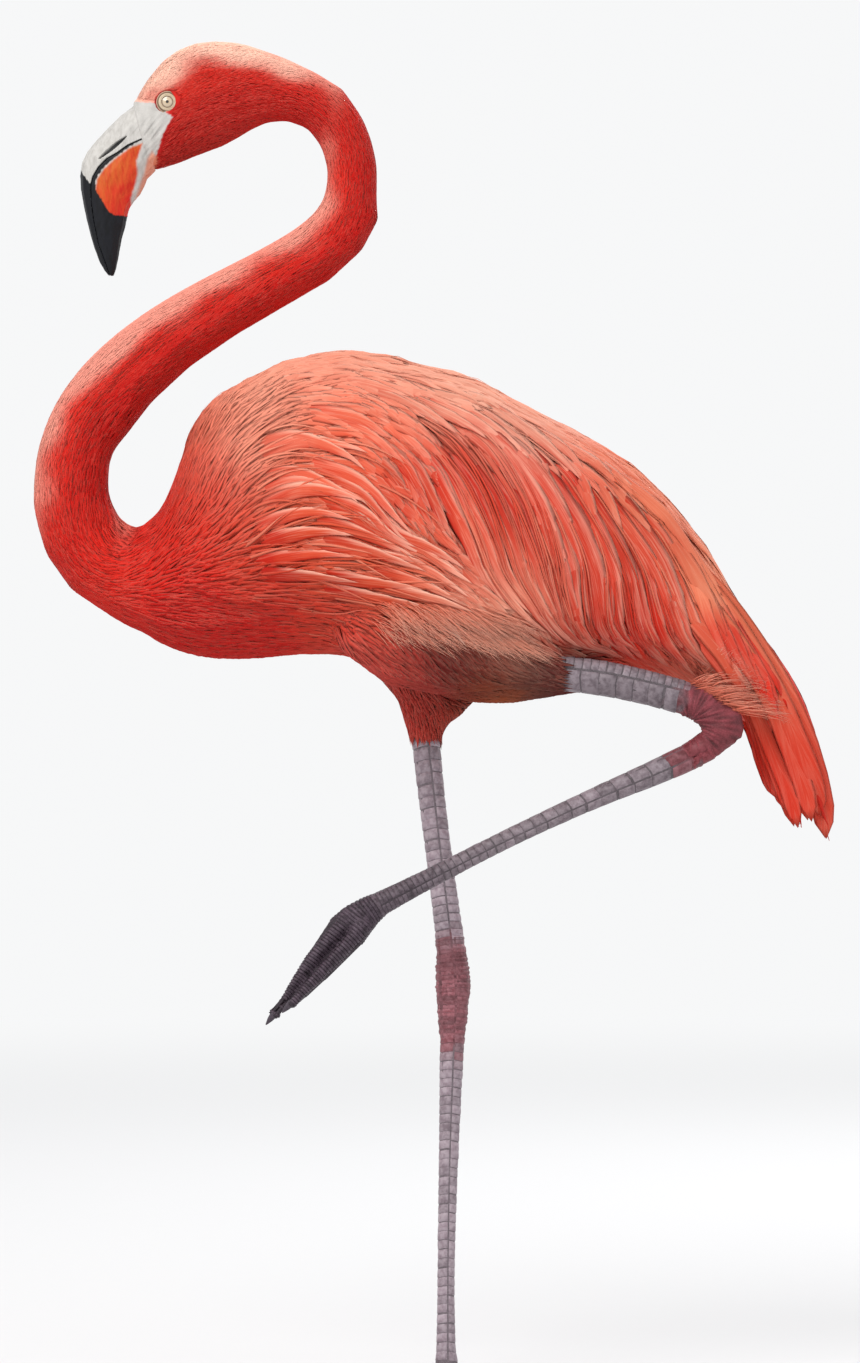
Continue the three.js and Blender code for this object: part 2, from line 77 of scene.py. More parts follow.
# Bare skin between bill and feathers, seen from the side: x, z.
FACE_EDGE = [
    (-252, 1031), (-240, 1028.5), (-233, 1028), (-222.4, 1019.5), (-217.5, 1016), (-222, 1009), (-226, 1001),
    (-229, 992), (-236, 975), (-246, 960), (-300, 960), (-300, 1040),
]
# How deep the coat is on the nodes whose names begin so; the other nodes have none.
COAT_DEPTH = {"head": 0.9, "neck": 1.2, "trunk": 3.6, "wing": 4, "tail": 2.6, "thigh": 2.6}
# How the names of the nodes of the bare legs begin, and of those that aren't flesh.
LEG_PARTS = ("shank", "hock", "tarsus", "foot")
NOT_FLESH = ("eye", "bill", "claw")

# Colours of the plumage and of the bare parts, as red, green, blue from 0 to 255.
PALETTE = {
    "scarlet": (197, 28, 17),
    "crimson": (176, 16, 12),
    # The next two are painted shade, for the underside of the thigh below its fringe.
    "painted_shade_red": (84, 21, 19),
    "painted_shade_grey": (62, 43, 40),
    "brick": (174, 54, 46),
    "coral": (190, 52, 34),
    "salmon": (208, 82, 52),
    "apricot": (217, 153, 130),
    "peach": (222, 134, 100),
    "blush": (223, 138, 112),
    "amber": (158, 72, 28),
    "flame": (198, 36, 20),
    "bone": (182, 179, 175),
    "slate": (146, 133, 140),
    "plum": (83, 68, 80),
    "madder": (132, 58, 66),
    "rose": (205, 110, 88),
    "orange": (190, 90, 30),
    "petal": (250, 203, 180),
    "ink": (10, 12, 20),
    "cream": (194, 177, 152),
    "sand": (176, 150, 116),
    "flesh": (206, 128, 98),
    "umber": (86, 56, 36),
    "pupil": (6, 6, 8),
    "paper": (212, 212, 213),
}

# Tracts of the body's plumage: middle x, z as seen from the side, lie of the feathers in degrees
# (0 is toward the tail, 90 up), their length and width, and their colour.
TRACTS = [
    (-200, 728, 76, 26, 5.2, "scarlet"),
    (-178, 774, 58, 36, 8, "salmon"),
    (-152, 798, 32, 44, 10, "apricot"),
    (-110, 817, 8, 48, 11, "apricot"),
    (-50, 816, -12, 52, 12, "apricot"),
    (5, 800, -22, 56, 13, "apricot"),
    (80, 768, -30, 60, 13, "apricot"),
    (150, 722, -40, 62, 13, "peach"),
    (205, 655, -52, 62, 12, "peach"),
    (-100, 780, -8, 48, 11, "salmon"),
    (-45, 762, -48, 54, 12, "salmon"),
    (5, 728, -68, 60, 13, "coral"),
    (75, 714, -74, 60, 13, "coral"),
    (125, 706, -64, 60, 13, "coral"),
    (165, 650, -72, 60, 13, "coral"),
    (92, 632, -88, 60, 13, "coral"),
    (25, 664, -82, 60, 13, "coral"),
    (-45, 706, -58, 56, 12, "coral"),
    (-88, 738, -34, 50, 11, "salmon"),
    (-150, 748, 22, 40, 9.5, "apricot"),
    (-168, 708, 52, 32, 6.5, "coral"),
    (-120, 712, 8, 56, 11, "salmon"),
    (-75, 672, -4, 60, 12, "salmon"),
    (-12, 654, -12, 62, 12, "salmon"),
    (-140, 656, 12, 42, 9, "coral"),
    (-215, 668, 24, 24, 4.4, "scarlet"),
    (-200, 620, 4, 24, 4.6, "crimson"),
    (-140, 604, -2, 28, 5.6, "crimson"),
    (-95, 622, -6, 40, 9, "coral"),
    (-40, 632, -10, 40, 8, "salmon"),
    (4, 634, -14, 36, 6, "blush"),
    (54, 616, -22, 34, 6, "blush"),
    (-64, 594, -34, 22, 5, "brick"),
    (-45, 566, -62, 20, 5, "brick"),
    (-16, 536, -86, 15, 4, "brick"),
    # Below the thigh's fringe: dark red on the thigh's red, and dark grey-brown, as painted shade.
    (-20, 594, -40, 22, 5, "painted_shade_red"),
    (8, 566, -50, 20, 5, "painted_shade_red"),
    (24, 586, -40, 22, 5, "painted_shade_red"),
    (66, 576, -24, 24, 4.5, "painted_shade_grey"),
    (38, 541, -24, 20, 5, "amber"),
    (95, 566, 4, 24, 6, "painted_shade_red"),
    (165, 590, -60, 40, 8, "flame"),
    (200, 570, -40, 30, 6, "rose"),
    (236, 602, -56, 60, 12, "flame"),
    (276, 530, -66, 60, 11, "flame"),
]
TRACT_REACH = 19  # how far a tract has its say over the feathers' lie and size, millimetres
COLOUR_BLEND = 8  # how much farther it has its say over their colour, on the back

EYE_PLACE = (-221.8, 1028)  # x, z
HEEL = (216, -53, 533)  # the folded heel, and its inner corner
HEEL_FOLD = (192, 535)
NECK_NOTCH = (-249, 0, 691)  # where the neck's inner curve runs into the breast in a round bend
NOTCH_MIDDLE = (-247, 713)  # the middle of that bend
NOTCH_RADIUS = 21.5
NOTCH_REACH = 16  # how far round the notch the skin is bent
BREAST_TOP = (-200, 0, 772)

# The bill, seen from the side: its root from top to bottom, how far that goes into the head, its nostril
# and the edges of its colours.
BILL_ROOT = [(-250.7, 1029.2), (-237.1, 974.1)]
ROOT_DEPTH = 5.0
NOSTRIL = [(-255, 1001.5), (-277, 984)]
BILL_BLACK = {
    "bill_upper": [
        (-305, 979), (-292.6, 977), (-290, 972), (-284.5, 964.5), (-270, 964), (-240, 880), (-320, 880),
    ],
    "bill_lower": [
        (-300, 968), (-283.6, 967.2), (-280.3, 973.8), (-273.7, 981.1), (-265.5, 987.7), (-251.6, 995.9),
        (-241.7, 999.7), (-251.6, 993.8), (-264.7, 984.4), (-272.9, 977), (-277.8, 970.5), (-279.8, 965.5),
        (-279.5, 959), (-269.6, 942.6), (-265.5, 939.3), (-254, 938.5), (-240, 935), (-240, 880), (-300, 880),
    ],
}
BILL_ORANGE = [
    (-241.5, 996.5), (-252, 992.6), (-264.7, 983.6), (-272.9, 976), (-278.5, 968), (-281, 955), (-270, 930),
    (-250, 930), (-251.6, 952.4), (-248.3, 962.2), (-245.8, 972.1), (-246.6, 981.9),
]
GAPE_SKIN = [
    (-234.5, 990), (-228, 983), (-233, 972), (-240, 955), (-246, 946), (-250.5, 947), (-246, 960),
    (-241.5, 972), (-238.5, 984),
]
# The folds of the face: they run from under the eye to the gape.
FACE_FOLDS = [
    (-226, 1021), (-219, 1018), (-229, 992), (-238, 976), (-242, 985), (-240, 1000), (-250, 1004),
    (-262, 1000),
]
TOE_GROOVE = [(-70, 380), (-141, 300)]  # between the toes of the hanging foot
CLAW_ROOT = 3.5  # how far a claw goes into its toe
FOLD_TURN = 52  # degrees between the folds and the level

# How feathers look: a word for the look, its material, and how strong the pale rim (a pale tip and a painted
# highlight on the rear edge), the streaks, the shaft, the deep root (painted shade on the root and the front
# edge) and the slant of the barbs show.
PLUMAGE_LOOKS = [
    ("tuft", "tufts", 0.14, 0.4, 0.0, 0.12, 0.0),
    ("contour", "contour_feathers", 0.45, 1.3, 0.05, 0.4, 0.1),
    ("long", "long_feathers", 0.48, 1.6, 0.12, 0.85, 0.04),
    ("barb", "barbs", 1.5, 0.3, 0.0, 0.0, 0.0),
    ("lock", "plumes", 0.95, 1.5, 0.0, 0.7, 0.04),
    ("red", "tail_feathers", 0.1, 0.8, 0.06, 0.3, 0.1),
]

# Kinds of feather. `steps` and `lanes` divide its mesh along and across; its web is full wide between the
# shares `base` and `tip` of its length and ends at a `point`; `lift` is the height of its tip, counted in
# depths of the coat, and `spread` how that varies. What a kind doesn't say is as in PLAIN.
PLAIN = dict(ragged=0, lift=1, slope=0.8, spread=(0.8, 1.05), droop=0, roll=0, curl=0, pale=0.2, hug=0.9,
             span=(0.82, 1.15))
SMALL = dict(steps=3, lanes=3, base=0.4, tip=0.3, point=1.3, camber=0.08, thick=0.1, vary=0.05, droop=0.35,
             spread=(0.96, 1.0), wander=3.5, slope=0.35, width=0.95, lift=0.85, length=1.7, pale=0.05)
SOFT = dict(steps=5, lanes=3, base=0.3, tip=0.35, point=1.5, camber=0.08, thick=0.12, vary=0.07, droop=0.25,
            spread=(0.92, 1.02), wander=4, slope=0.4, width=0.7, length=1.45, curl=0.35, pale=0.06)
CONTOUR = dict(steps=7, lanes=5, base=0.3, tip=0.4, point=1.8, camber=0.07, thick=0.12, vary=0.05, droop=0.25,
               spread=(0.9, 1.0), wander=5, slope=0.4, ragged=0.14, curl=0.25, roll=0.03, width=1.05,
               length=1.2)
WISP = dict(steps=5, lanes=3, base=0.15, tip=0.4, point=1.2, camber=0.3, thick=0.2, vary=0.08,
            spread=(0.98, 1.08), wander=3, slope=0.4, wide=1.5, length=1.1, curl=2.0, pale=0.6)
PLUME = dict(steps=20, lanes=7, base=0.1, tip=0.5, point=1.6, camber=0.1, thick=0.2, vary=0.05, droop=0.04,
             spread=(0.94, 1.04), wander=1.6, slope=0.35, ragged=0.2, roll=0.11, pale=0.1, hug=0.22,
             span=(0.92, 1.05), wear="long")
TAIL_FEATHER = dict(PLUME, tone="flame", pale=0, wide=17, tip=0.88, point=2.5, lift=0, roll=0.03, ragged=0.1,
                    base=0.2)
TAIL_TOP_FEATHER = dict(TAIL_FEATHER, wide=13, lift=0.7, wander=0.6, span=(0.94, 1.0))
BARB = dict(steps=4, lanes=3, base=0.2, tip=0.3, point=1.2, camber=0.4, thick=0.2, vary=0.1, wide=0.8, lift=0)

# Rows of long feathers on both sides, from the undermost to the topmost: name, rows and kind. A row runs from
# one x, z to another, with so many feathers, from one length to another.
PLUME_ROWS = [
    ("long_scapulars", [((-46, 798), (170, 696), 15, (265, 168))], dict(wide=23, lift=0.75)),
    ("upper_scapulars", [((-60, 776), (184, 664), 17, (205, 122))], dict(wide=13, lift=0.98)),
    ("shoulder_plumes", [((-110, 800), (20, 790), 8, (90, 110)), ((-120, 776), (-40, 758), 6, (80, 110))],
     dict(wide=13, lift=1.0, hug=0.7)),
    ("scapular_strands", [((-60, 792), (176, 676), 80, (190, 100))],
     dict(wide=2.2, lanes=3, lift=1.1, apart=16, pale=0.5, roll=0, camber=0.4, wear="tuft")),
    ("rump_plumes", [((150, 712), (226, 612), 9, (150, 95)), ((128, 734), (212, 640), 9, (120, 120))],
     dict(wide=15, lift=1.3, wear="red")),
    ("side_plumes", [
        ((-150, 748), (-150, 650), 9, (100, 80)), ((-112, 740), (-104, 640), 9, (110, 90)),
        ((-76, 712), (-60, 630), 7, (110, 90)),
    ], dict(wide=14, lift=1.4, tip=0.3, point=1.3, camber=0.14, pale=0.2, apart=3, wander=3, wear="lock")),
    ("side_strands", [
        ((-160, 752), (-150, 645), 36, (70, 50)), ((-120, 750), (-110, 632), 36, (90, 70)),
        ((-80, 720), (-62, 622), 36, (100, 70)),
    ], dict(wide=2.8, lanes=3, steps=10, lift=1.45, tip=0.3, point=1.3, camber=0.15, pale=0.6, apart=14,
            wander=4, roll=0, curl=1.8, wear="tuft")),
]

# Loose barbs that stand off in a fan, on both sides: name, colour, lines from root to root and from tip to
# tip, seen from the side, how many, and how far the tips stand off the skin.
FANS = [
    ("thigh_fringe", "blush", [
        (((-66, 618), (30, 612)), ((-38, 598), (88, 583)), 380, 8),
        (((-62, 630), (20, 628)), ((-30, 608), (80, 599)), 340, 11),
    ]),
    ("undertail_tuft", "rose", [
        (((194, 574), (236, 554)), ((218, 598), (268, 549)), 420, 8),
        (((190, 568), (232, 545)), ((222, 568), (272, 538)), 420, 6),
    ]),
]

# Long tail feathers on both sides, from the undermost to the topmost: line x, z from root to tip.
TAIL_LINES = [
    [(190, 665), (231, 616), (264, 566), (287, 518), (299, 478), (304, 441)],
    [(196, 655), (232, 606), (262, 556), (284, 508), (294, 480), (299, 459)],
    [(185, 650), (225, 604), (255, 556), (275, 508), (286, 478), (291, 455)],
    [(180, 640), (215, 594), (243, 549), (262, 505), (274, 475), (280, 450)],
    [(190, 620), (222, 585), (246, 540), (259, 505), (268, 483), (273, 463)],
    [(200, 600), (225, 572), (246, 535), (256, 505), (262, 488), (265, 473)],
]

# The middle feathers of the tail: roots at x, z on the rump, how far to the sides, how many, the length in
# the middle and how much of it goes for each millimetre to the side.
TAIL_TOP = dict(x=226, z=640, half=26, count=7, long=206, shorter=1.4)

# Seen from the side: the flank that the long shoulder feathers cover, and the longest soft feather.
FLANK = [(-52, 806), (164, 714), (214, 655), (226, 612), (150, 585), (60, 585), (0, 650), (-40, 740)]
SOFT_LENGTH = 42

# Legs: middle lines x, y, z of the scaled lengths, from top to bottom.
LEG_LINES = {
    "shank_left": [(82, -60, 574), (120, -58, 570), (155, -56, 563), (188, -54, 555)],
    "tarsus_left": [
        (200, -52, 511), (168, -50, 496), (113, -47, 472.5), (50, -44, 443), (0, -41, 417.5),
        (-54, -38, 389.5),
    ],
    "ankle_left": [(-54, -38, 389.5), (-64, -38, 382.5), (-71, -38.5, 375), (-78, -39, 366)],
    "shank_right": [(-16, 26, 519), (-4.4, 20, 418), (2.4, 17, 362)],
    "hock_right": [(2.4, 17, 361), (6, 15, 320), (5, 13, 281)],
    "tarsus_right": [(5, 13, 280), (1.2, 6.5, 152), (0, 1, 22)],
}
PLATE_COLUMNS = 9  # how finely a plate is divided round the limb
WRAPPED = [(-98, 98), (102, 258)]  # plates in front and behind, degrees round the limb from its front
HALVES = [(2, 178), (182, 358)]
TOE_TOP = [(-80, 80)]


def toe_lines(side, roots):
    """From each root to the middle of its front claw."""
    lines = []
    for toe, root in roots.items():
        low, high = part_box(f"claw_{side}_{toe}")
        lines.append([root, tuple(np.array((low + high) / 2) / MM)])
    return lines


def shrinking(first, last, power=1.0):
    return lambda share: last + (first - last) * (1 - min(share, 1)) ** power


LEFT_TOES = {"inner": (-61, -32, 378), "middle": (-76, -38, 381), "outer": (-62, -43, 377)}
RIGHT_TOES = {toe: (2, 0, 5) for toe in LEFT_TOES}
# For each leg: middle line, spacing, sectors, height of a plate and the most it lies off the line.
LEG_SCUTES = {
    "left": [
        (LEG_LINES["shank_left"], shrinking(16, 11), [(-112, 112)], 0.55, 20),
        (LEG_LINES["shank_left"], shrinking(7, 5), [(117, 243)], 0.3, 20),
        (LEG_LINES["tarsus_left"], shrinking(18, 3.2, 1.2), WRAPPED, 0.3, 14),
        (LEG_LINES["ankle_left"], shrinking(2.8, 2.6), HALVES, 0.7, 20),
        *[(line, shrinking(2.8, 2.3), HALVES, 1.0, 7.6) for line in toe_lines("left", LEFT_TOES)],
    ],
    "right": [
        (LEG_LINES["shank_right"], shrinking(10.5, 6), WRAPPED, 0.5, 20),
        (LEG_LINES["hock_right"], shrinking(3.6, 3.2), WRAPPED, 0.22, 20),
        (LEG_LINES["tarsus_right"], shrinking(7, 7.5), WRAPPED, 0.4, 14),
        *[(line, shrinking(3.2, 2.4), TOE_TOP, 0.45, 9) for line in toe_lines("right", RIGHT_TOES)],
    ],
}

# What the camera sees: its middle x, z, its height and how far off it is, metres.
VIEW_MIDDLE = (-0.0128, 0.5668)
VIEW_HEIGHT = 1.0904
VIEW_DISTANCE = 4.5
FLOOR_RADIUS = 40000  # millimetres

SOLE = 0.1  # how high the soles lie above the floor
SEAM = 0.45  # how much pieces of flesh swell to close the cuts between them
# Edges of the faces that the flesh, the bill and the claws are first made in.
VOXEL = 1.7
BILL_VOXEL = 0.62
CLAW_VOXEL = 0.42
FAR_SIDE = 300  # farther to the side than any part of the bird
PATCH = 0.003  # side of one feather's patch on the baking map
# Length and width of the small feathers, at places counted along the middle line down to the neck's base.
NECK_STOPS = [0, 1, NAPE, 5, 10, NECK_BASE]
NECK_SIZES = [[4.5, 6.5, 9, 12, 15, 20], [1.1, 1.5, 2, 2.5, 3, 3.6]]
NECK_BLUR = 8.0  # how far the neck is evened along itself, steps of the middle line
NECK_SECTORS = 20  # how many sectors round itself it is evened in
NECK_STRETCH = [(3.6, 4.8), (12.9, 11.2)]  # where that begins and where it ends, points of the middle line

# ---------- small tools ----------
def linear(name):
    """A colour of the palette as the linear values that shaders use."""
    share = np.array(PALETTE[name]) / 255
    return np.where(share <= 0.04045, share / 12.92, ((share + 0.055) / 1.055) ** 2.4)


def ramp(value, start, end):
    """Rises smoothly from 0 at start to 1 at end."""
    t = np.clip((np.asarray(value, float) - start) / (end - start), 0, 1)
    return t * t * (3 - 2 * t)


def blend(a, b, share):
    """Goes from colours or places a to b; share has one value for each row."""
    return a + (b - a) * np.asarray(share)[..., None]


def unit(vectors):
    return vectors / np.maximum(np.linalg.norm(vectors, axis=-1, keepdims=True), 1e-9)


def ripple(points, size, seed):
    """Smooth chance from about -1 to 1 that changes over `size` millimetres."""
    waves = 7
    rng = np.random.default_rng(seed)
    heading = unit(rng.normal(size=(waves, 3)))
    rate = 2 * math.pi / size * rng.uniform(0.6, 1.5, waves)
    phase = rng.uniform(0, 2 * math.pi, waves)
    return 1.6 * np.sin(points @ (heading * rate[:, None]).T + phase).mean(-1)


def smooth_curve(points):
    """A Catmull-Rom curve through points, and its parameter counted in points."""
    p = np.array(points, float)
    p = np.vstack([2 * p[0] - p[1], p, 2 * p[-1] - p[-2]])
    t = np.arange(CURVE_STEPS)[:, None] / CURVE_STEPS
    made = [
        0.5 * (2 * b + (c - a) * t + (2 * a - 5 * b + 4 * c - d) * t**2 + (3 * b - a - 3 * c + d) * t**3)
        for a, b, c, d in zip(p, p[1:], p[2:], p[3:])
    ]
    curve = np.vstack([*made, p[-2][None]])
    return curve, np.arange(len(curve)) / CURVE_STEPS


def lengths_along(curve):
    """How far along a curve each of its points lies."""
    return np.concatenate([[0], np.cumsum(np.linalg.norm(np.diff(curve, axis=0), axis=1))])


def columns_at(stops, reach, curve):
    """What a curve's columns are at some lengths along it."""
    return np.column_stack([np.interp(stops, reach, column) for column in curve.T])


def beside_edge(places, start, end):
    """The share of an edge that each place lies beside, and how far off the edge it is."""
    edge = np.subtract(end, start)
    t = np.clip(((places - start) @ edge) / (edge @ edge), 0, 1)
    return t, np.linalg.norm(places - start - t[:, None] * edge, axis=1)


def inside(points, outline):
    """How far points lie inside a closed outline in the side view: positive inside, negative outside."""
    p = points[:, [0, 2]]
    corners = np.array(outline, float)
    nearest = np.full(len(p), np.inf)
    crossings = np.zeros(len(p), int)
    for a, b in zip(corners, np.roll(corners, -1, axis=0)):
        nearest = np.minimum(nearest, beside_edge(p, a, b)[1])
        spans = (a[1] > p[:, 1]) != (b[1] > p[:, 1])
        at = a[0] + (p[:, 1] - a[1]) * (b[0] - a[0]) / (b[1] - a[1] if b[1] != a[1] else 1)
        crossings += spans & (p[:, 0] < at)
    return np.where(crossings % 2 == 1, nearest, -nearest)


# ---------- meshes ----------
def mesh_from(name, points, faces):
    """A mesh from points in millimetres and a list of face arrays."""
    mesh = bpy.data.meshes.new(name)
    corners = np.concatenate([f.ravel() for f in faces]).astype(np.int32)
    sizes = np.concatenate([np.full(len(f), f.shape[1]) for f in faces])
    mesh.vertices.add(len(points))
    mesh.vertices.foreach_set("co", (points * MM).astype(np.float32).ravel())
    mesh.loops.add(len(corners))
    mesh.loops.foreach_set("vertex_index", corners)
    mesh.polygons.add(len(sizes))
    mesh.polygons.foreach_set("loop_start", (np.cumsum(sizes) - sizes).astype(np.int32))
    mesh.polygons.foreach_set("use_smooth", np.ones(len(sizes), bool))
    mesh.update(calc_edges=True)
    return mesh


def make_object(name, points, faces, material=None):
    made = bpy.data.objects.new(name, mesh_from(name, points, faces))
    bpy.context.scene.collection.objects.link(made)
    if material:
        made.data.materials.append(material)
    return made


def hand_over(made, slot, *nodes):
    """Puts a piece under the bird's root, so that it belongs to the bird, and hides the nodes it stands for;
    its material slot is not used.
    """
    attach(made, "root")
    if nodes:
        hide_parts(*nodes)


def paint(made, name, values):
    """Stores one colour, vector or number for each point."""
    values = np.asarray(values, np.float32)
    kind, key = ("FLOAT", "value") if values.ndim == 1 else ("FLOAT_VECTOR", "vector")
    if name == "tint":
        values = np.column_stack([values, np.ones(len(values), np.float32)])
        kind, key = "FLOAT_COLOR", "color"
    made.data.attributes.new(name, kind, "POINT").data.foreach_set(key, values.ravel())


def arrays_of(mesh):
    """Points in millimetres and triangles of a mesh."""
    mesh.calc_loop_triangles()
    points = np.empty(len(mesh.vertices) * 3, np.float32)
    mesh.vertices.foreach_get("co", points)
    faces = np.empty(len(mesh.loop_triangles) * 3, np.int32)
    mesh.loop_triangles.foreach_get("vertices", faces)
    return points.reshape(-1, 3).astype(float) / MM, faces.reshape(-1, 3)


def through_modifier(points, faces, kind, weights=None, **settings):
    """The points and triangles that a modifier makes of a surface."""
    made = make_object("blank", points, [faces])
    modifier = made.modifiers.new(kind, kind)
    if weights is not None:
        group = made.vertex_groups.new(name="share")
        for level in np.unique(weights):
            group.add(np.flatnonzero(weights == level).tolist(), float(level), "REPLACE")
        modifier.vertex_group = "share"
    for key, value in settings.items():
        setattr(modifier, key, value)
    bpy.context.view_layer.update()
    result = bpy.data.meshes.new_from_object(made.evaluated_get(bpy.context.evaluated_depsgraph_get()))
    arrays = arrays_of(result)
    bpy.data.meshes.remove(result)
    old = made.data
    bpy.data.objects.remove(made)
    bpy.data.meshes.remove(old)
    return arrays


def evenly_meshed(points, faces, voxel):
    """One closed surface round others, in faces of one size."""
    return through_modifier(points, faces, "REMESH", mode="VOXEL", voxel_size=voxel * MM, adaptivity=0.0)


def normals_of(points, faces):
    a, b, c = (points[faces[:, i]] for i in range(3))
    across = np.cross(b - a, c - a)
    total = np.zeros_like(points)
    for i in range(3):
        for axis in range(3):
            total[:, axis] += np.bincount(faces[:, i], across[:, axis], len(points))
    return unit(total)


def split_faces(points, faces, wanted):
    """Halves the edges of a part of a surface, so that it can hold finer shapes."""
    blank = mesh_from("blank", points, [faces])
    mesh = bmesh.new()
    mesh.from_mesh(blank)
    bpy.data.meshes.remove(blank)
    edges = [e for e in mesh.edges if wanted[e.verts[0].index] and wanted[e.verts[1].index]]
    bmesh.ops.subdivide_edges(mesh, edges=edges, cuts=1, use_grid_fill=True)
    bmesh.ops.triangulate(mesh, faces=mesh.faces)
    mesh.verts.index_update()
    points = np.array([v.co[:] for v in mesh.verts]) / MM
    faces = np.array([[v.index for v in f.verts] for f in mesh.faces])
    mesh.free()
    return points, faces


class Neighbours:
    """Which points share an edge, so that values can be blended over a surface."""

    def __init__(self, faces, count):
        pairs = np.vstack([faces[:, [0, 1]], faces[:, [1, 2]], faces[:, [2, 0]]])
        ends = np.concatenate([pairs[:, 0], pairs[:, 1]])
        others = np.concatenate([pairs[:, 1], pairs[:, 0]])
        order = np.argsort(ends, kind="stable")
        self.others = others[order]
        self.valence = np.maximum(np.bincount(ends, minlength=count), 1)[:, None]
        self.starts = np.cumsum(self.valence.ravel()) - self.valence.ravel()

    def spread(self, values, rounds, share=0.5):
        """Blends values at the points with those of their neighbours."""
        flat = values.reshape(len(values), -1).astype(float)
        for _ in range(rounds):
            around = np.add.reduceat(flat[self.others], self.starts, axis=0)
            flat = flat + share * (around / self.valence - flat)
        return flat.reshape(values.shape)

    def evened(self, points, rounds):
        """Smooths a surface and keeps its volume, by turns of shrinking and swelling."""
        for _ in range(rounds):
            points = self.spread(points, 1, 0.6)
            points = self.spread(points, 1, -0.62)
        return points


def joined(parts):
    """The points and the faces of several surfaces as those of one."""
    starts = np.cumsum([0] + [len(points) for points, _ in parts])
    faces = [faces + start for (_, faces), start in zip(parts, starts)]
    return np.vstack([points for points, _ in parts]), np.vstack(faces)


def cad_copy(nodes, grow=0.0):
    """The merged surfaces of CAD nodes, each grown a little, and each triangle's node number."""
    parts, labels = [], []
    for number, name in enumerate(nodes):
        points, faces = arrays_of(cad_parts[name].data)
        _, first, same = np.unique(np.round(points, 3), axis=0, return_index=True, return_inverse=True)
        points = points[first]
        faces = same.ravel()[faces]
        faces = faces[(faces != np.roll(faces, 1, axis=1)).all(1)]
        parts.append((points + grow * normals_of(points, faces), faces))
        labels.append(np.full(len(faces), number))
    return *joined(parts), np.concatenate(labels)


class Surface:
    """A closed surface that finds the nearest place on itself and knows what its points hold."""

    def __init__(self, points, faces):
        self.points = points
        self.faces = faces
        self.normals = normals_of(points, faces)
        self.tree = BVHTree.FromPolygons(points.tolist(), faces.tolist())
        self.held = {}

    def nearest(self, places):
        """The nearest places, their faces, and how far off they are."""
        found = [self.tree.find_nearest(p) for p in places.tolist()]
        near = np.array([f[0][:] for f in found])
        face = np.array([f[2] for f in found])
        return near, face, np.linalg.norm(near - places, axis=1)

    def at(self, name, face):
        """The mean of what the points of each face hold."""
        return self.held[name][self.faces[face]].mean(axis=1)

    def beside(self, x, z, side):
        """The place that shows at x, z when the bird is seen from a side, and its face."""
        place, _, face, _ = self.tree.ray_cast((x, FAR_SIDE * side, z), (0, -side, 0))
        return (place, face) if place else (None, None)


# ---------- skin ----------
def bell(half):
    """The weights of a smooth average over the steps of the middle line, `half` of them on each side."""
    return np.exp(-(np.arange(-half, half + 1) ** 2) / (2 * NECK_BLUR**2))


def middle_line():
    """The smoothed middle line of the body, and where its places lie, counted in the points of SPINE."""
    curve, count = smooth_curve(SPINE)
    half = 21
    blur = bell(half)
    padded = np.pad(curve, ((half, half), (0, 0)), "reflect", reflect_type="odd")
    return np.column_stack([np.convolve(padded[:, i], blur / blur.sum(), "valid") for i in range(2)]), count


def spine_place(points, on_trunk):
    """Where points lie along the middle line, counted in its points, its heading there and the turn round it.

    Points of the trunk look only at the part of the line behind the neck.
    """
    curve, count = middle_line()
    heading = unit(np.gradient(curve, axis=0))
    side_view = points[:, [0, 2]]
    best = np.full(len(points), np.inf)
    where = np.zeros(len(points), int)
    for i, place in enumerate(curve):
        off = ((side_view - place) ** 2).sum(1)
        closer = (off < best) & (~on_trunk | (count[i] > NECK_BASE))
        best[closer] = off[closer]
        where[closer] = i
    along = heading[where]
    out = side_view - curve[where]
    rise = out[:, 1] * along[:, 0] - out[:, 0] * along[:, 1]
    return count[where], along, np.arctan2(points[:, 1], rise)


def tract_shares(points, reach):
    """How much each tract has its say at each point."""
    middles = np.array([(x, z) for x, z, *_ in TRACTS], float)
    off = ((points[:, None, [0, 2]] - middles) ** 2).sum(2)
    shares = np.exp(-(off - off.min(1, keepdims=True)) / (2 * reach**2))
    return shares / shares.sum(1, keepdims=True)


def one_flesh(nodes, cad, labels, leg):
    """The nodes of flesh as one smooth closed surface, in small faces only where the skin is bare."""
    points, faces, _ = cad_copy(nodes, grow=SEAM)
    points, faces = evenly_meshed(points, faces, VOXEL)
    _, face, _ = cad.nearest(points)
    bare = leg[labels[face]] | (inside(points, FACE_EDGE) > -14)
    near = Neighbours(faces, len(points))
    lightly = near.evened(points, 6)
    points = blend(near.evened(lightly, 60), lightly, near.spread(bare.astype(float), 10))
    points, faces = through_modifier(
        points, faces, "DECIMATE", weights=np.where(bare, 0.0, 1.0), ratio=0.25,
        vertex_group_factor=8.0, use_collapse_triangulate=True,
    )
    _, face, _ = cad.nearest(points)
    fine = np.array([nodes[i].startswith("hock") for i in labels[face]]) | (inside(points, FACE_EDGE) > -2)
    return split_faces(points, faces, fine)


def under_coat(points, faces, near, deep):
    """Moves a surface in by the coat's depth, less where it is thin: its places, the depth and the move."""
    depth = near.spread(np.where(inside(points, FACE_EDGE) > -1, 0, deep), 5) + SEAM
    from_notch = np.linalg.norm(points - NECK_NOTCH, axis=1)
    depth = depth * (1 - 0.85 * np.exp(-((from_notch / 26) ** 2)))
    skin = Surface(points, faces)
    starts = points - 0.05 * skin.normals
    across = [skin.tree.ray_cast(p, n)[3] for p, n in zip(starts.tolist(), (-skin.normals).tolist())]
    room = near.spread(np.array([d if d else 0.0 for d in across]), 2)
    move = np.minimum(depth, 0.36 * room)
    return points - skin.normals * move[:, None], depth, move


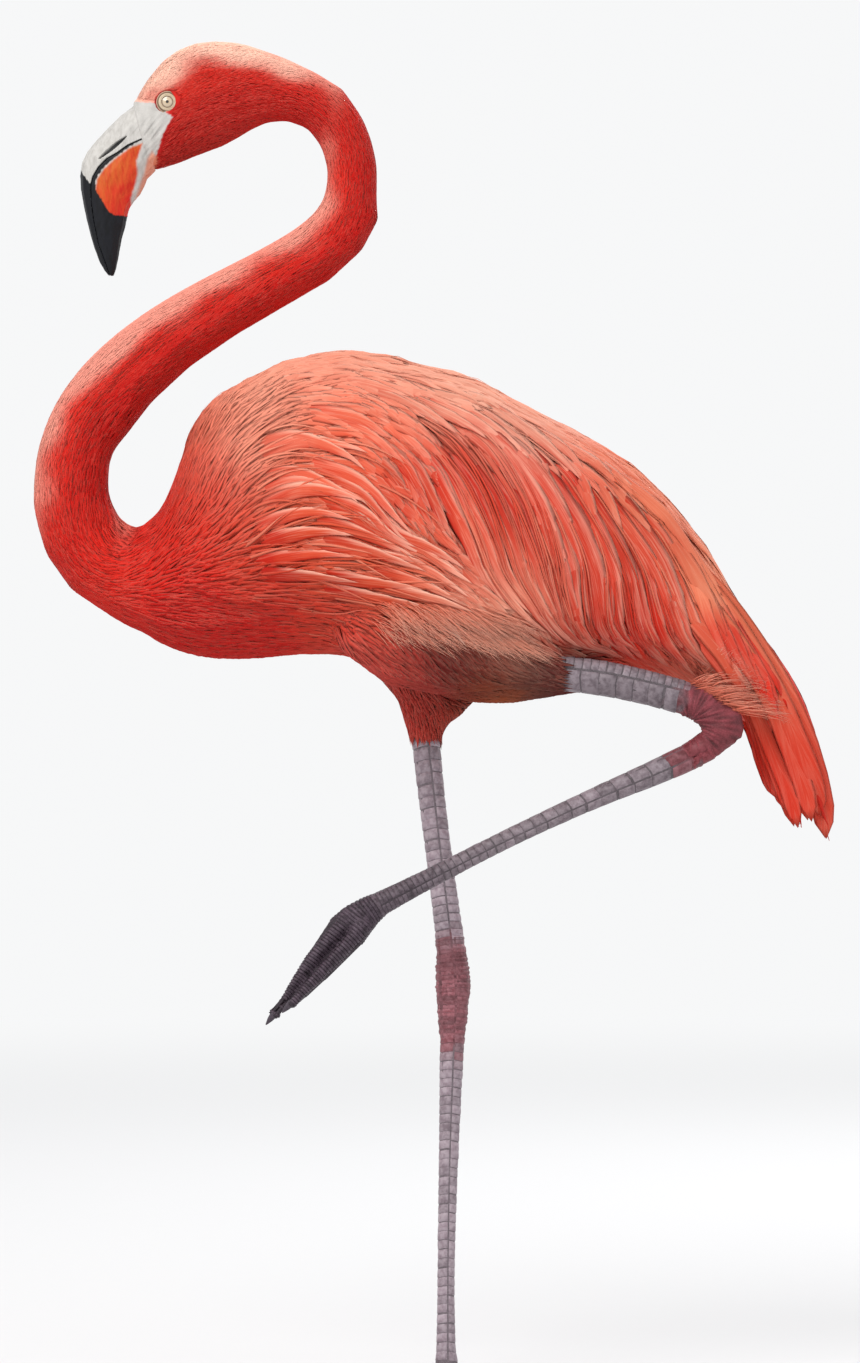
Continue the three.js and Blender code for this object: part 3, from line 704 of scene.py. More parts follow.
def rounded(points, faces, near, coated):
    """Fills the creases between the thighs, the wings and the trunk, and rounds the neck and its bends."""
    for _ in range(3):
        out = normals_of(points, faces)
        gain = ((near.spread(points, 10) - points) * out).sum(1)
        points = points + out * (np.clip(gain, 0, 2) * coated)[:, None]
    points = round_notch(rounder_neck(points, near), near)
    from_top = np.linalg.norm(points - BREAST_TOP, axis=1)
    return blend(points, near.evened(near.spread(points, 10), 40), np.exp(-((from_top / 34) ** 2)))


def make_skin():
    """The bird's one skin: a closed surface inside the flesh by the coat's depth."""
    nodes = sorted(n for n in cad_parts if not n.startswith(NOT_FLESH))
    cad_points, cad_faces, labels = cad_copy(nodes)
    cad = Surface(cad_points, cad_faces)
    leg = np.array([n.startswith(LEG_PARTS) for n in nodes])
    deep = np.array([max([v for k, v in COAT_DEPTH.items() if n.startswith(k)], default=0.0) for n in nodes])
    points, faces = one_flesh(nodes, cad, labels, leg)
    near = Neighbours(faces, len(points))
    part = labels[cad.nearest(points)[1]]
    names = [nodes[i] for i in part]
    points, depth, move = under_coat(points, faces, near, deep[part])
    points = rounded(near.evened(points, 2), faces, near, near.spread((depth > 2).astype(float), 4))
    points = points + normals_of(points, faces) * folds(points, near, names)[:, None]
    points[:, 2] = np.maximum(points[:, 2], SOLE)
    skin = Surface(points, faces)
    hold_fields(skin, near, leg[part], move, names)
    return skin


def round_notch(points, near):
    """Bends the skin into a round hollow where the neck's inner curve meets the breast."""
    off = points[:, [0, 2]] - NOTCH_MIDDLE
    distance = np.linalg.norm(off, axis=1)
    share = np.exp(-((np.linalg.norm(points - NECK_NOTCH, axis=1) / NOTCH_REACH) ** 2))
    move = np.clip(NOTCH_RADIUS - distance, -12, 6) * share
    moved = points.copy()
    moved[:, [0, 2]] += off / np.maximum(distance, 1)[:, None] * move[:, None]
    return blend(moved, near.spread(moved, 6), share)


def rounder_neck(points, near):
    """Takes the flats out of the neck: its distance from the middle line changes evenly along it."""
    count, _, turn = spine_place(points, np.zeros(len(points), bool))
    curve, at = middle_line()
    middle = columns_at(count, at, curve)
    off = np.column_stack([points[:, 0] - middle[:, 0], points[:, 1], points[:, 2] - middle[:, 1]])
    radius = np.linalg.norm(off, axis=1)
    rows, columns = CURVE_STEPS * len(SPINE), NECK_SECTORS
    row = np.clip(np.round(count * CURVE_STEPS).astype(int), 0, rows - 1)
    column = ((turn / (2 * math.pi) * columns).astype(int)) % columns
    evened = []
    for held in (radius, np.ones(len(points))):
        total = np.bincount(row * columns + column, held, minlength=rows * columns).reshape(rows, columns)
        total = np.column_stack([np.convolve(total[:, k], bell(20), "same") for k in range(columns)])
        for _ in range(2):
            total = total + 0.5 * (np.roll(total, 1, axis=1) + np.roll(total, -1, axis=1))
        evened.append(total)
    even = (evened[0] / np.maximum(evened[1], 1e-6))[row, column]
    above, below = NECK_STRETCH
    share = ramp(count, *above) * ramp(count, *below)
    limit = np.clip(even - radius, -5, 5)
    points = points + off / np.maximum(radius, 1e-6)[:, None] * (share * limit)[:, None]
    return blend(points, near.evened(points, 12), share)


def heel_creases(points, names):
    """The pattern of the wrinkles of the heels: they run across the limb, in a fan round a folded one."""
    folded = np.array([n == "hock_left" for n in names])
    off = points[:, [0, 2]] - HEEL_FOLD
    turn = np.arctan2(off[:, 1], off[:, 0])
    fan = np.column_stack([0.16 * np.linalg.norm(off, axis=1), 0.12 * points[:, 1], 24 * turn])
    across = np.column_stack([0.2 * points[:, 0], 0.2 * points[:, 1], points[:, 2]])
    return ripple(np.where(folded[:, None], fan, across), 4.0, 22)


def drawn_along_folds(points, along, across):
    """Places in the directions of the face's folds, scaled along them and from side to side."""
    turn = math.radians(FOLD_TURN)
    flat = points[:, [0, 2]]
    return np.column_stack([
        flat @ (math.cos(turn), math.sin(turn)) * along,
        points[:, 1] * across,
        flat @ (-math.sin(turn), math.cos(turn)),
    ])


def toe_groove(points, names):
    """The depth of the groove between the toes of the hanging foot, as a share."""
    start, end = np.array(TOE_GROOVE)
    edge = end - start
    off = points[:, [0, 2]] - start
    t = (off @ edge) / (edge @ edge)
    across = np.abs(off @ unit(np.array([-edge[1], edge[0]])))
    foot = np.array([n == "foot_left" for n in names]) & (points[:, 1] < -38)
    return foot * np.exp(-((across / 2.7) ** 2)) * ramp(t, 0.0, 0.2) * ramp(t, 1.05, 0.9)


def folds(points, near, names):
    """Height of the folds of bare skin: fine ones from eye to gape, coarse ones across the heels."""
    face = ramp(inside(points, FACE_FOLDS), -3, 3)
    heel = near.spread(np.array([n.startswith("hock") for n in names], float), 6)
    fine = 0.55 * face * ripple(drawn_along_folds(points, 0.16, 0.5), 3.4, 21)
    return fine + 0.8 * heel * heel_creases(points, names) - 4.5 * toe_groove(points, names)


def coat_lie(along, shares, on_body, points, normals, near):
    """The lie of the coat, flat on the skin: along the neck, then as the tracts say, with a little sway."""
    lies = np.radians([row[2] for row in TRACTS])
    lie = unit(blend(along, unit(shares @ np.column_stack([np.cos(lies), np.sin(lies)])), on_body))
    sway = np.radians(16 - 7 * on_body) * ripple(points, 60, 4)
    lie = np.column_stack([
        lie[:, 0] * np.cos(sway) - lie[:, 1] * np.sin(sway),
        np.zeros(len(lie)),
        lie[:, 0] * np.sin(sway) + lie[:, 1] * np.cos(sway),
    ])
    for _ in range(6):
        lie = lie - normals * (lie * normals).sum(1, keepdims=True)
        lie = unit(near.spread(unit(lie), 2))
    return lie


def feather_sizes(count, shares, on_body, near_leg):
    """Length and width of the feathers: those of the head and neck by place, the others by tract."""
    neck = np.column_stack([np.interp(count, NECK_STOPS, row) for row in NECK_SIZES])
    shorter = 1 - 0.75 * np.clip(2 * near_leg, 0, 1)
    body = shares @ np.array([row[3:5] for row in TRACTS], float)
    return blend(neck, body * np.column_stack([shorter, 0.4 + 0.6 * shorter]), on_body)


def hold_fields(skin, near, on_leg, depth, names):
    """Gives the skin's points their lie, coat depth, feather size and colours."""
    points, leg = skin.points, on_leg.astype(float)
    on_trunk = np.array([not n.startswith(("head", "neck")) for n in names])
    count, along, turn = spine_place(points, on_trunk)
    count = near.spread(count, 6)
    on_body = ramp(count, NECK_BASE - 0.8, NECK_BASE + 0.5)
    shares = tract_shares(points, TRACT_REACH)
    drift = np.column_stack([ripple(points, 45, seed) for seed in (5, 6, 7)])
    colour_reach = TRACT_REACH + COLOUR_BLEND * ramp(points[:, 2], 620, 690)
    colour_shares = tract_shares(points + 8 * drift, colour_reach[:, None])
    normals = unit(near.spread(skin.normals, 8))
    face = inside(points, FACE_EDGE)
    coat_tint = plumage_tint(points, normals, count, colour_shares, on_body)
    plate, tint = skin_tints(points, coat_tint, on_leg, near, names)
    skin.held.update(
        out=normals, lie=coat_lie(along, shares, on_body, points, normals, near), depth=depth, count=count,
        turn=turn, leg=leg, face=face, size=feather_sizes(count, shares, on_body, near.spread(leg, 40)),
        coat_tint=coat_tint, plate=plate, tint=tint,
        bare=np.maximum(near.spread(leg, 2), 0.4 * ramp(face, -0.8, 0.4)),
    )


def plumage_tint(points, normals, count, shares, on_body):
    """The colour of the coat. On the head and neck it holds painted light: scarlet with pale painted
    highlights in streaks where the skin faces up and ahead, and crimson as painted shade where it faces away.
    """
    body = shares @ np.array([linear(row[5]) for row in TRACTS])
    # How much each point faces a light from above and ahead, for the painted light of the neck.
    light = ramp(normals @ unit(np.array([-0.45, 0, 0.9])), -0.5, 0.9)
    # Painted shade: crimson on the side away from that light, scarlet on the side toward it.
    neck = blend(linear("crimson"), linear("scarlet"), ramp(light, 0.05, 0.6))
    # A painted highlight, in pale streaks, where the skin faces that light.
    painted_highlight_and_leg_tone = ramp(light + 0.25 * ripple(points, 40, 8), 0.42, 0.95)
    neck = blend(neck, linear("petal"), (0.42 + 0.45 * ramp(count, NAPE + 1, NAPE)) * painted_highlight_and_leg_tone)
    return blend(neck, body, on_body)


def face_tint(points, tint):
    """Bare skin round the bill: whitish, flesh-coloured at the gape, with painted shade in its folds."""
    grain = ripple(points * (1, 0.5, 0.4), 9, 31)
    edge = inside(points, FACE_EDGE) + 0.4 * ripple(points, 2.5, 32)
    tint = blend(tint, linear("bone"), ramp(edge, -0.6, 0.6))
    tint = tint * (1 + 0.07 * grain)[:, None]
    drawn = drawn_along_folds(points, 0.06, 0.2)
    # Painted shade in streaks along the folds of the face.
    crease_shade = ramp(inside(points, FACE_FOLDS), -3, 3) * ramp(ripple(drawn, 2.6, 33), 0.1, 0.9)
    tint = tint * (1 - 0.34 * crease_shade)[:, None]
    return blend(tint, linear("flesh"), 0.85 * ramp(inside(points, GAPE_SKIN), -1.2, 2.2))


def skin_tints(points, coat, on_leg, near, names):
    """The colours of the plates on the legs and of the skin, which is darker under coat and plates as painted
    shade.
    """
    foot = near.spread(np.array([n == "foot_left" for n in names], float), 3)
    fuzz = 8 * ripple(points, 14, 41)
    left = ramp(points[:, 1], -20, -28) * ramp(points[:, 2], 200, 250)
    from_heel = np.linalg.norm(points - HEEL, axis=1) + fuzz
    height = points[:, 2] + fuzz
    right_joint = 0.74 * (1 - left) * ramp(height, 376, 350) * ramp(height, 258, 284)
    joint = left * ramp(from_heel, 52, 32) + right_joint
    toward_foot = left * ramp(points[:, 0] + fuzz, 60, -60) * ramp(points[:, 2], 470, 430)
    plate = blend(linear("slate"), linear("madder"), joint)
    plate = blend(plate, linear("plum"), np.maximum(foot, 0.8 * toward_foot))
    # How light the plates are: darker on the left leg, less so at its heel, and a little darker at the right
    # heel.
    painted_highlight_and_leg_tone = 1.12 - 0.34 * left * (1 - joint) - 0.22 * left * joint - 0.12 * (1 - left) * joint
    plate = plate * (painted_highlight_and_leg_tone * (1 + 0.1 * ripple(points, 9, 42)))[:, None]
    # Painted light on the heels' wrinkles: lighter on their ridges, darker in their grooves.
    plate = plate * (1 + 0.45 * joint * heel_creases(points, names))[:, None]
    legs = near.spread(on_leg.astype(float), 2)
    # Painted shade on the skin under the plates: half as light as they are, less darkened at the heels.
    shade_under_plates = 0.5 + 0.4 * joint
    # The skin under the coat is a little darker than the coat, as painted shade.
    return plate, face_tint(points, blend(0.92 * coat, plate * shade_under_plates[:, None], legs))


# ---------- feathers ----------
def scatter(skin, wanted, spacing, seed):
    """Places at least `spacing` apart on the wanted faces, and their faces."""
    rng = np.random.default_rng(seed)
    a, b, c = (skin.points[skin.faces[:, i]] for i in range(3))
    area = np.linalg.norm(np.cross(b - a, c - a), axis=1) / 2
    crowd = np.where(wanted, area / spacing**2, 0)
    tries = int(crowd.sum() * 3)
    face = rng.choice(len(crowd), tries, p=crowd / crowd.sum())
    share = rng.uniform(size=(tries, 2))
    share = np.where(share.sum(1, keepdims=True) > 1, 1 - share, share)
    places = a[face] + share[:, :1] * (b - a)[face] + share[:, 1:] * (c - a)[face]
    tree = KDTree(tries)
    for i, place in enumerate(places.tolist()):
        tree.insert(place, i)
    tree.balance()
    dropped = np.zeros(tries, bool)
    apart = spacing[face]
    for i, place in enumerate(places.tolist()):
        if not dropped[i]:
            for _, other, _ in tree.find_range(place, apart[i]):
                if other > i:
                    dropped[other] = True
    return places[~dropped], face[~dropped]


def follow(skin, starts, faces, lengths, steps, wander, hug):
    """Walks along the lie of the coat from each start, and straight on where the skin ends.

    Gives the places, the directions out of the skin and the faces at the start and after each step.
    """
    place, face = starts, faces
    out = unit(skin.at("out", face))
    heading = unit(skin.at("lie", face))
    stride = (lengths / steps)[:, None]
    passed = [(place, out, face)]
    for _ in range(steps):
        side = np.cross(out, heading)
        ahead = unit(heading + side * np.tan(wander)[:, None])
        target = place + ahead * stride
        near, found, off = skin.nearest(target)
        on = (off < hug * stride[:, 0])[:, None]
        place = np.where(on, near, target)
        face = np.where(on[:, 0], found, face)
        lie = skin.at("lie", face)
        heading = np.where(on, unit(0.45 * ahead + 0.55 * lie), ahead)
        out = np.where(on, unit(skin.at("out", face)), out)
        heading = unit(heading - out * (heading * out).sum(1, keepdims=True))
        passed.append((place, out, face))
    return [np.stack(rows, axis=1) for rows in zip(*passed)]


def sizes(skin, faces, kind, rng):
    """Length and half width of each feather, from its tract or from its kind."""
    length, wide = skin.at("size", faces).T
    length = kind["long"] if "long" in kind else length * kind["length"]
    wide = kind["wide"] if "wide" in kind else wide * kind["width"]
    return length * rng.uniform(*kind["span"], len(faces)), wide * rng.uniform(0.42, 0.58, len(faces))


def vanes(place, out, half, rear, depth, t, a, kind, rng):
    """The upper and the under sides of feathers along their middle lines, and how far off those they reach.

    `t` says how far along a feather its rows lie, and `a` how far across it its lanes lie.
    """
    side = unit(np.cross(out, unit(np.gradient(place, axis=1))))
    half = half[:, None, None]
    web = np.sqrt(np.clip(1 - (1 - np.clip(t / kind["base"], 0, 1)) ** 2, 0, 1))
    web = web * (1 - np.clip((t - kind["tip"]) / (1 - kind["tip"]), 0, 1) ** kind["point"])
    web = web[:, None]
    rag = 1 - kind["ragged"] * rng.uniform(size=(*place.shape[:2], 2)) * ramp(t, 0.25, 0.7)[:, None]
    edge = np.where(a < 0, rag[:, :, :1], rag[:, :, 1:])
    reach = half * web * a * np.where(np.abs(a) > 0.99, edge, 1)
    lift = (depth * kind["lift"] * rng.uniform(*kind["spread"], len(place)))[:, None]
    level = ramp(np.abs(out[..., 2]), 0.92, 0.6)  # on the back's ridge nothing rolls up, and edges bend down
    rise = -0.4 + (lift + 0.4) * np.clip(t / 0.9, 0, 1) ** kind["slope"]
    droop = (kind["droop"] + 0.5 * (1 - level)) * lift * ramp(t, 0.6, 1.0)
    level = level[:, :, None]
    roll = kind["roll"] * a * (rear[:, None, None] * half) * web * level
    camber = kind["camber"] * half * web * (1 - a**2) - 0.5 * (1 - level) * half * web * a**2
    curl = kind["curl"] * rng.normal(size=(len(place), 1, 1)) * ramp(t, 0.4, 1)[:, None] * half
    height = ((rise - droop)[:, :, None] + roll + camber)[..., None]
    out = out[:, :, None]
    top = place[:, :, None] + side[:, :, None] * (reach + curl)[..., None] + out * height
    thick = kind["thick"] * (1 - 0.5 * t)[:, None, None]
    return top, top[:, :, 1:-1] - out * thick, reach


def feather_faces(count, rings, per_ring):
    """The faces of feathers that are each a point, rings of points round the web, and a point."""
    first = 1 + np.arange(per_ring)
    after = np.roll(first, -1)
    quad = np.column_stack([first, after, after + per_ring, first + per_ring])
    quads = np.concatenate([quad + k * per_ring for k in range(rings - 1)])
    last = first + (rings - 1) * per_ring
    end = rings * per_ring + 1
    tips = np.concatenate([
        np.column_stack([0 * first, after, first]),
        np.column_stack([0 * first + end, last, np.roll(last, -1)]),
    ])
    shift = (np.arange(count) * (end + 1))[:, None, None]
    return [(faces + shift).reshape(-1, faces.shape[1]) for faces in (quads, tips)]


def feathers(skin, name, starts, faces, kind, material, seed, lines=None):
    """One mesh of thin closed feathers. `kind` holds their shape; they follow the skin, or given lines."""
    kind = {**PLAIN, **kind}
    rng = np.random.default_rng(seed)
    count, steps, lanes = len(starts), kind["steps"], kind["lanes"]
    chance = rng.uniform(size=count)
    length, half = sizes(skin, faces, kind, rng)
    if lines is None:
        wander = np.radians(kind["wander"]) * rng.normal(size=count)
        place, out, passed = follow(skin, starts, faces, length, steps, wander, kind["hug"])
    else:
        place, out = lines
        passed = np.repeat(faces[:, None], steps + 1, axis=1)
    rear = np.where(place[:, 0, 1] > 0, -1.0, 1.0)  # which edge of the feather is the upper or rear one
    t, a = np.linspace(0, 1, steps + 1), np.linspace(-1, 1, lanes)
    depth = np.maximum(skin.at("depth", faces), 0.5)
    top, under, reach = vanes(place, out, half, rear, depth, t, a, kind, rng)

    ring = np.concatenate([top, under[:, :, ::-1]], axis=2)[:, 1:-1]
    middle = top[:, :, lanes // 2]
    points = np.concatenate([middle[:, :1], ring.reshape(count, -1, 3), middle[:, -1:]], axis=1)
    per_ring = ring.shape[2]
    made = make_object(name, points.reshape(-1, 3), feather_faces(count, steps - 1, per_ring), material)

    row = np.concatenate([[0], np.repeat(np.arange(1, steps), per_ring), [steps]])
    lane = np.concatenate([np.arange(lanes), np.arange(lanes - 2, 0, -1)])
    on_a = np.concatenate([[0], np.tile(a[lane], steps - 1), [0]])
    vane = np.stack(np.broadcast_arrays(t[row], on_a * rear[:, None], chance[:, None]), axis=2)
    paint(made, "vane", vane.reshape(-1, 3))
    across = np.pad(reach[:, 1:-1][:, :, lane].reshape(count, -1), ((0, 0), (1, 1)))
    paint(made, "web", np.stack([t[row] * length[:, None], across, 0 * across], axis=2).reshape(-1, 3))
    tints = skin.held["coat_tint"][skin.faces[passed]].mean(axis=2)[:, row]
    tints = np.clip(tints * rng.normal(1, kind["vary"], count)[:, None, None], 0, 1)
    tints = blend(tints, linear("blush"), (kind["pale"] * rng.uniform(size=count) ** 2)[:, None])
    if "tone" in kind:
        tints = blend(tints, linear(kind["tone"]), 0.8 * ramp(t[row], 0.15, 0.8))
    paint(made, "tint", tints.reshape(-1, 3))
    lay_out(made, skin, faces, vane)
    hand_over(made, "plumage")


def along_given(skin, name, hung, kind, material, seed):
    """Feathers along given lines; each has its line, its directions out, and its root's place and face."""
    places, outs, roots, faces = (np.array(rows) for rows in zip(*hung))
    lengths = np.linalg.norm(np.diff(places, axis=1), axis=2).sum(1)
    feathers(skin, name, roots, faces, dict(kind, long=lengths), material, seed, (places, unit(outs)))


def lay_out(made, skin, faces, vane):
    """The baking map: a small patch for each feather, at its root's place on the unrolled skin."""
    along = skin.at("count", faces)
    turn = skin.held["turn"][skin.faces[faces][:, 0]]
    spot = np.column_stack([along, turn])
    low, high = spot.min(0), spot.max(0)
    spot = 0.01 + 0.98 * (spot - low) / np.maximum(high - low, 1e-6)
    patch = spot[:, None] + PATCH * np.stack([vane[..., 1] / 2, vane[..., 0] - 0.5], axis=2)
    patch = np.clip(patch.reshape(-1, 2), 0, 1)
    corners = np.empty(len(made.data.loops), np.int32)
    made.data.loops.foreach_get("vertex_index", corners)
    layer = made.data.uv_layers.new(name="OFBake")
    layer.data.foreach_set("uv", patch[corners].astype(np.float32).ravel())


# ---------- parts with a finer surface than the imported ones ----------
def finer(node, voxel, rounds, shift):
    """The smoothed surface of a CAD node in small faces, once `shift` has moved the points of one end."""
    points, faces, _ = cad_copy([node])
    points, faces = evenly_meshed(shift(points), faces, voxel)
    return Neighbours(faces, len(points)).evened(points, rounds), faces


def into_head(points):
    """The bill's root goes a little way into the face, so that no gap shows between them."""
    top, low = np.array(BILL_ROOT, float)
    across = unit(np.array([top[1] - low[1], low[0] - top[0]]))
    off = (points[:, [0, 2]] - top) @ across
    moved = points.copy()
    moved[:, [0, 2]] += np.where(off > -0.6, ROOT_DEPTH, 0)[:, None] * across
    return moved


def make_bill(name, node, other, material):
    points, faces = finer(node, BILL_VOXEL, 9, into_head)
    normals = normals_of(points, faces)
    other_points, other_faces, _ = cad_copy([other])
    _, _, gap = Surface(other_points, other_faces).nearest(points)
    jag = 0.35 * ripple(points, 3.5, 3) + 0.3 * ripple(points, 1.8, 5)
    tint = face_tint(points, np.broadcast_to(linear("bone"), points.shape))
    if node == "bill_lower":
        streak = 0.5 + 0.5 * ripple(points * (1, 0.6, 0.3), 2.4, 7)
        lower = ramp(points[:, 0] - 0.9 * points[:, 2], -1150, -1105)
        orange = blend(linear("orange"), linear("flame"), np.clip(0.75 * lower + 0.5 * streak - 0.1, 0, 1))
        tint = blend(tint, orange, ramp(inside(points, BILL_ORANGE) + 0.6 * jag, -0.9, 1.6))
    tint = blend(tint, linear("ink"), ramp(inside(points, BILL_BLACK[node]) + jag, -0.4, 0.4))
    # Painted shade: black where the bill lies close to the other half, in the slit between them.
    tint = blend(tint, linear("ink"), 0.92 * ramp(gap, 1.3, 0.6))
    if node == "bill_upper":
        t, off = beside_edge(points[:, [0, 2]], *NOSTRIL)
        slit = ramp(off / (0.35 + 1.5 * np.sin(math.pi * t) ** 0.8), 1.15, 0.55) * (np.abs(points[:, 1]) > 4)
        brow = ramp(off, 5.0, 2.0) * (1 - slit)
        points = points - normals * (2.4 * slit - 0.25 * brow)[:, None]
        # Painted shade: the sunk slit of the nostril is painted black.
        tint = blend(tint, linear("ink"), 0.95 * slit)
    points = points + normals * (0.12 * ripple(points * (1, 1, 0.4), 5, 9))[:, None]
    made = make_object(name, points, [faces], material)
    paint(made, "tint", np.clip(tint, 0, 1))
    hand_over(made, "bill", node)


def lathe(profile, centre, side, segments, closed):
    """Turns a profile of (radius, height) round the line that runs sideways out of the head."""
    profile = np.array(profile, float)
    turn = 2 * math.pi * np.arange(segments) / segments
    rows = profile if closed else profile[1:-1]
    radius = rows[:, :1]
    points = np.stack([
        centre[0] + radius * np.cos(turn),
        centre[1] + side * rows[:, 1:] + 0 * turn,
        centre[2] + radius * np.sin(turn),
    ], axis=2).reshape(-1, 3)
    count = len(rows)
    here = np.arange(segments)
    beside = np.roll(here, -1)
    pairs = [(k, (k + 1) % count) for k in range(count if closed else count - 1)]
    quad = np.column_stack([here, beside, beside, here])
    faces = [np.vstack([quad + np.array([k, k, m, m]) * segments for k, m in pairs])]
    radii = np.repeat(rows[:, 0], segments)
    if not closed:
        start, end = len(points), len(points) + 1
        poles = [[centre[0], centre[1] + side * profile[i, 1], centre[2]] for i in (0, -1)]
        points = np.vstack([points, poles])
        radii = np.concatenate([radii, [0, 0]])
        low, high = np.full(segments, start), np.full(segments, end)
        faces.append(np.column_stack([low, beside, here]))
        faces.append(np.column_stack([high, here + (count - 1) * segments, beside + (count - 1) * segments]))
    if side < 0:
        faces = [f[:, ::-1] for f in faces]
    return points, faces, radii


def make_eye(skin, name, node, side, material, lid_material):
    """The eyeball, which bulges a little at the pupil, with its lids."""
    low, high = (np.array(corner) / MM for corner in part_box(node))
    centre = (low + high) / 2
    wide, deep = (high[0] - low[0]) / 2, (high[1] - low[1]) / 2
    turns = np.linspace(0, math.pi, EYE_ROWS)
    ball = np.column_stack([wide * np.sin(turns), deep * np.cos(turns)])
    ball[:, 1] += 0.35 * ramp(ball[:, 0], 3.6, 1.2) * (ball[:, 1] > 0)
    points, faces, radii = lathe(ball, centre, side, EYE_SEGMENTS, closed=False)
    front = (points[:, 1] - centre[1]) * side > 0
    made = make_object(name, points, faces, material)
    paint(made, "ring", np.where(front, radii, wide))
    hand_over(made, "eye", node)
    make_lids(skin, name + "_lids", centre, side, wide, deep, lid_material)


def rings(radius, rows):
    """The sum of smooth rings round the eye: their middle, width and height."""
    return sum(height * np.exp(-(((radius - middle) / width) ** 2)) for middle, width, height in rows)


def make_lids(skin, name, centre, side, wide, deep, material):
    """The folds of bare skin round an eyeball, which end in the face."""
    radius = np.linspace(EYE_OPENING, EYE_RINGS, 48)
    edge = deep * np.sqrt(1 - (EYE_OPENING / wide) ** 2) + 0.3
    base = edge + (3.0 - edge) * ramp(radius, EYE_OPENING, 9.5)
    top = np.column_stack([radius, base + rings(radius, LID_RIDGES)])
    under = np.column_stack([radius[::-1][::4], top[::-1, 1][::4] - 1.6])
    under[-1] = (EYE_OPENING + 0.1, top[0, 1] - 0.9)
    points, faces, radii = lathe(np.vstack([top, under]), centre, side, LID_SEGMENTS, closed=True)
    near, _, _ = skin.nearest(points)
    outer = ramp(radii, 8.4, EYE_RINGS)[:, None]
    is_top = np.repeat(np.arange(len(top) + len(under)) < len(top), LID_SEGMENTS)[:, None]
    sunk = np.array([0, -0.5 * side, 0]) * np.where(is_top, outer, 1 + outer)
    points = np.where(is_top, points + outer * (near - points) * (0, 1, 0) + sunk, points + sunk)
    points = points + (np.array([0, side, 0]) * 0.12 * (ripple(points, 2.4, 2) * (radii > 4.8))[:, None])
    # Painted shade: dark brown in the creases between the lids' ridges.
    tint = blend(linear("cream"), linear("umber"), np.clip(rings(radii, LID_CREASE_SHADE), 0, 1))
    tint = blend(tint, 0.6 * linear("crimson"), ramp(radii, 8.3, 9.2))
    made = make_object(name, points, faces, material)
    paint(made, "tint", tint)
    paint(made, "bare", np.full(len(points), 0.3))
    hand_over(made, "bill")


def into_toe(points, skin):
    """A claw's root goes a little way into its toe, so that no gap shows between them."""
    _, _, off = skin.nearest(points)
    root = off < off.min() + 0.3 * np.ptp(off)
    ahead = unit(points[~root].mean(0) - points[root].mean(0))
    return points - np.where(root, CLAW_ROOT, 0)[:, None] * ahead


def make_claws(skin, side, material):
    nodes = sorted(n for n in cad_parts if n.startswith(f"claw_{side}"))
    parts = [finer(node, CLAW_VOXEL, 5, lambda points: into_toe(points, skin)) for node in nodes]
    points, faces = joined(parts)
    made = make_object(f"claws_{side}", points, [faces], material)
    hand_over(made, "claw", *nodes)


# ---------- scutes ----------
def along_line(line, step):
    """Points, headings and spacings along a line, with `step` a spacing for each share of the line done."""
    curve, _ = smooth_curve([(x, z) for x, _, z in line])
    across, _ = smooth_curve([(y, 0) for _, y, _ in line])
    curve = np.column_stack([curve[:, 0], across[:, 0], curve[:, 1]])
    reach = lengths_along(curve)
    stops = [0.0]
    while stops[-1] < reach[-1]:
        stops.append(stops[-1] + step(stops[-1] / reach[-1]))
    stops = np.array(stops[:-1])
    headings = columns_at(stops, reach, unit(np.gradient(curve, axis=0)))
    return columns_at(stops, reach, curve), headings, np.diff(np.append(stops, stops[-1] + step(1)))


def grid_faces(grid):
    """The faces between the rows and columns of a grid of numbered points."""
    return np.stack([grid[:-1, :-1], grid[:-1, 1:], grid[1:, 1:], grid[1:, :-1]], axis=-1).reshape(-1, 4)


def plate(skin, centre, heading, pitch, sector, rise, widest, rng):
    """One domed plate that wraps a sector of a limb: its points and faces, or nothing where the limb ends."""
    front = unit(np.cross((0, 1, 0), heading))
    side = np.cross(heading, front)
    low, high = np.radians(sector)
    lip = math.radians(5)
    slope = min(0.08, 0.45 / pitch)
    along = np.array([-0.5, slope - 0.5, 0, 0.5 - slope, 0.5])
    turn = np.concatenate([[low], np.linspace(low + lip, high - lip, PLATE_COLUMNS), [high]])
    rows, columns = len(along), len(turn)
    slant = rng.normal(0, 0.04) + 0.1 * np.cos(2 * turn)
    points = []
    for k, share in enumerate(along):
        for j, angle in enumerate(turn):
            start = centre + heading * pitch * (share + slant[j])
            out = front * math.cos(angle) + side * math.sin(angle)
            _, _, _, reach = skin.tree.ray_cast(start, out)
            if not reach:
                return None
            reach = min(reach, widest)
            rim = k in (0, rows - 1) or j in (0, columns - 1)
            points.append(start + out * (reach + (-0.35 if rim else rise * (1 - 0.4 * (share < 0)))))
    grid = np.arange(rows * columns).reshape(rows, columns)
    quads = grid_faces(grid)
    under = np.array(points).reshape(rows, columns, 3)
    inner = under[1:-1, 1:-1] - (under[1:-1, 1:-1] - centre) * 0.12
    bottom = grid.copy()
    bottom[1:-1, 1:-1] = rows * columns + np.arange((rows - 2) * (columns - 2)).reshape(rows - 2, columns - 2)
    quads = np.vstack([quads, grid_faces(bottom)[:, [0, 3, 2, 1]]])
    return np.vstack([points, inner.reshape(-1, 3)]), quads


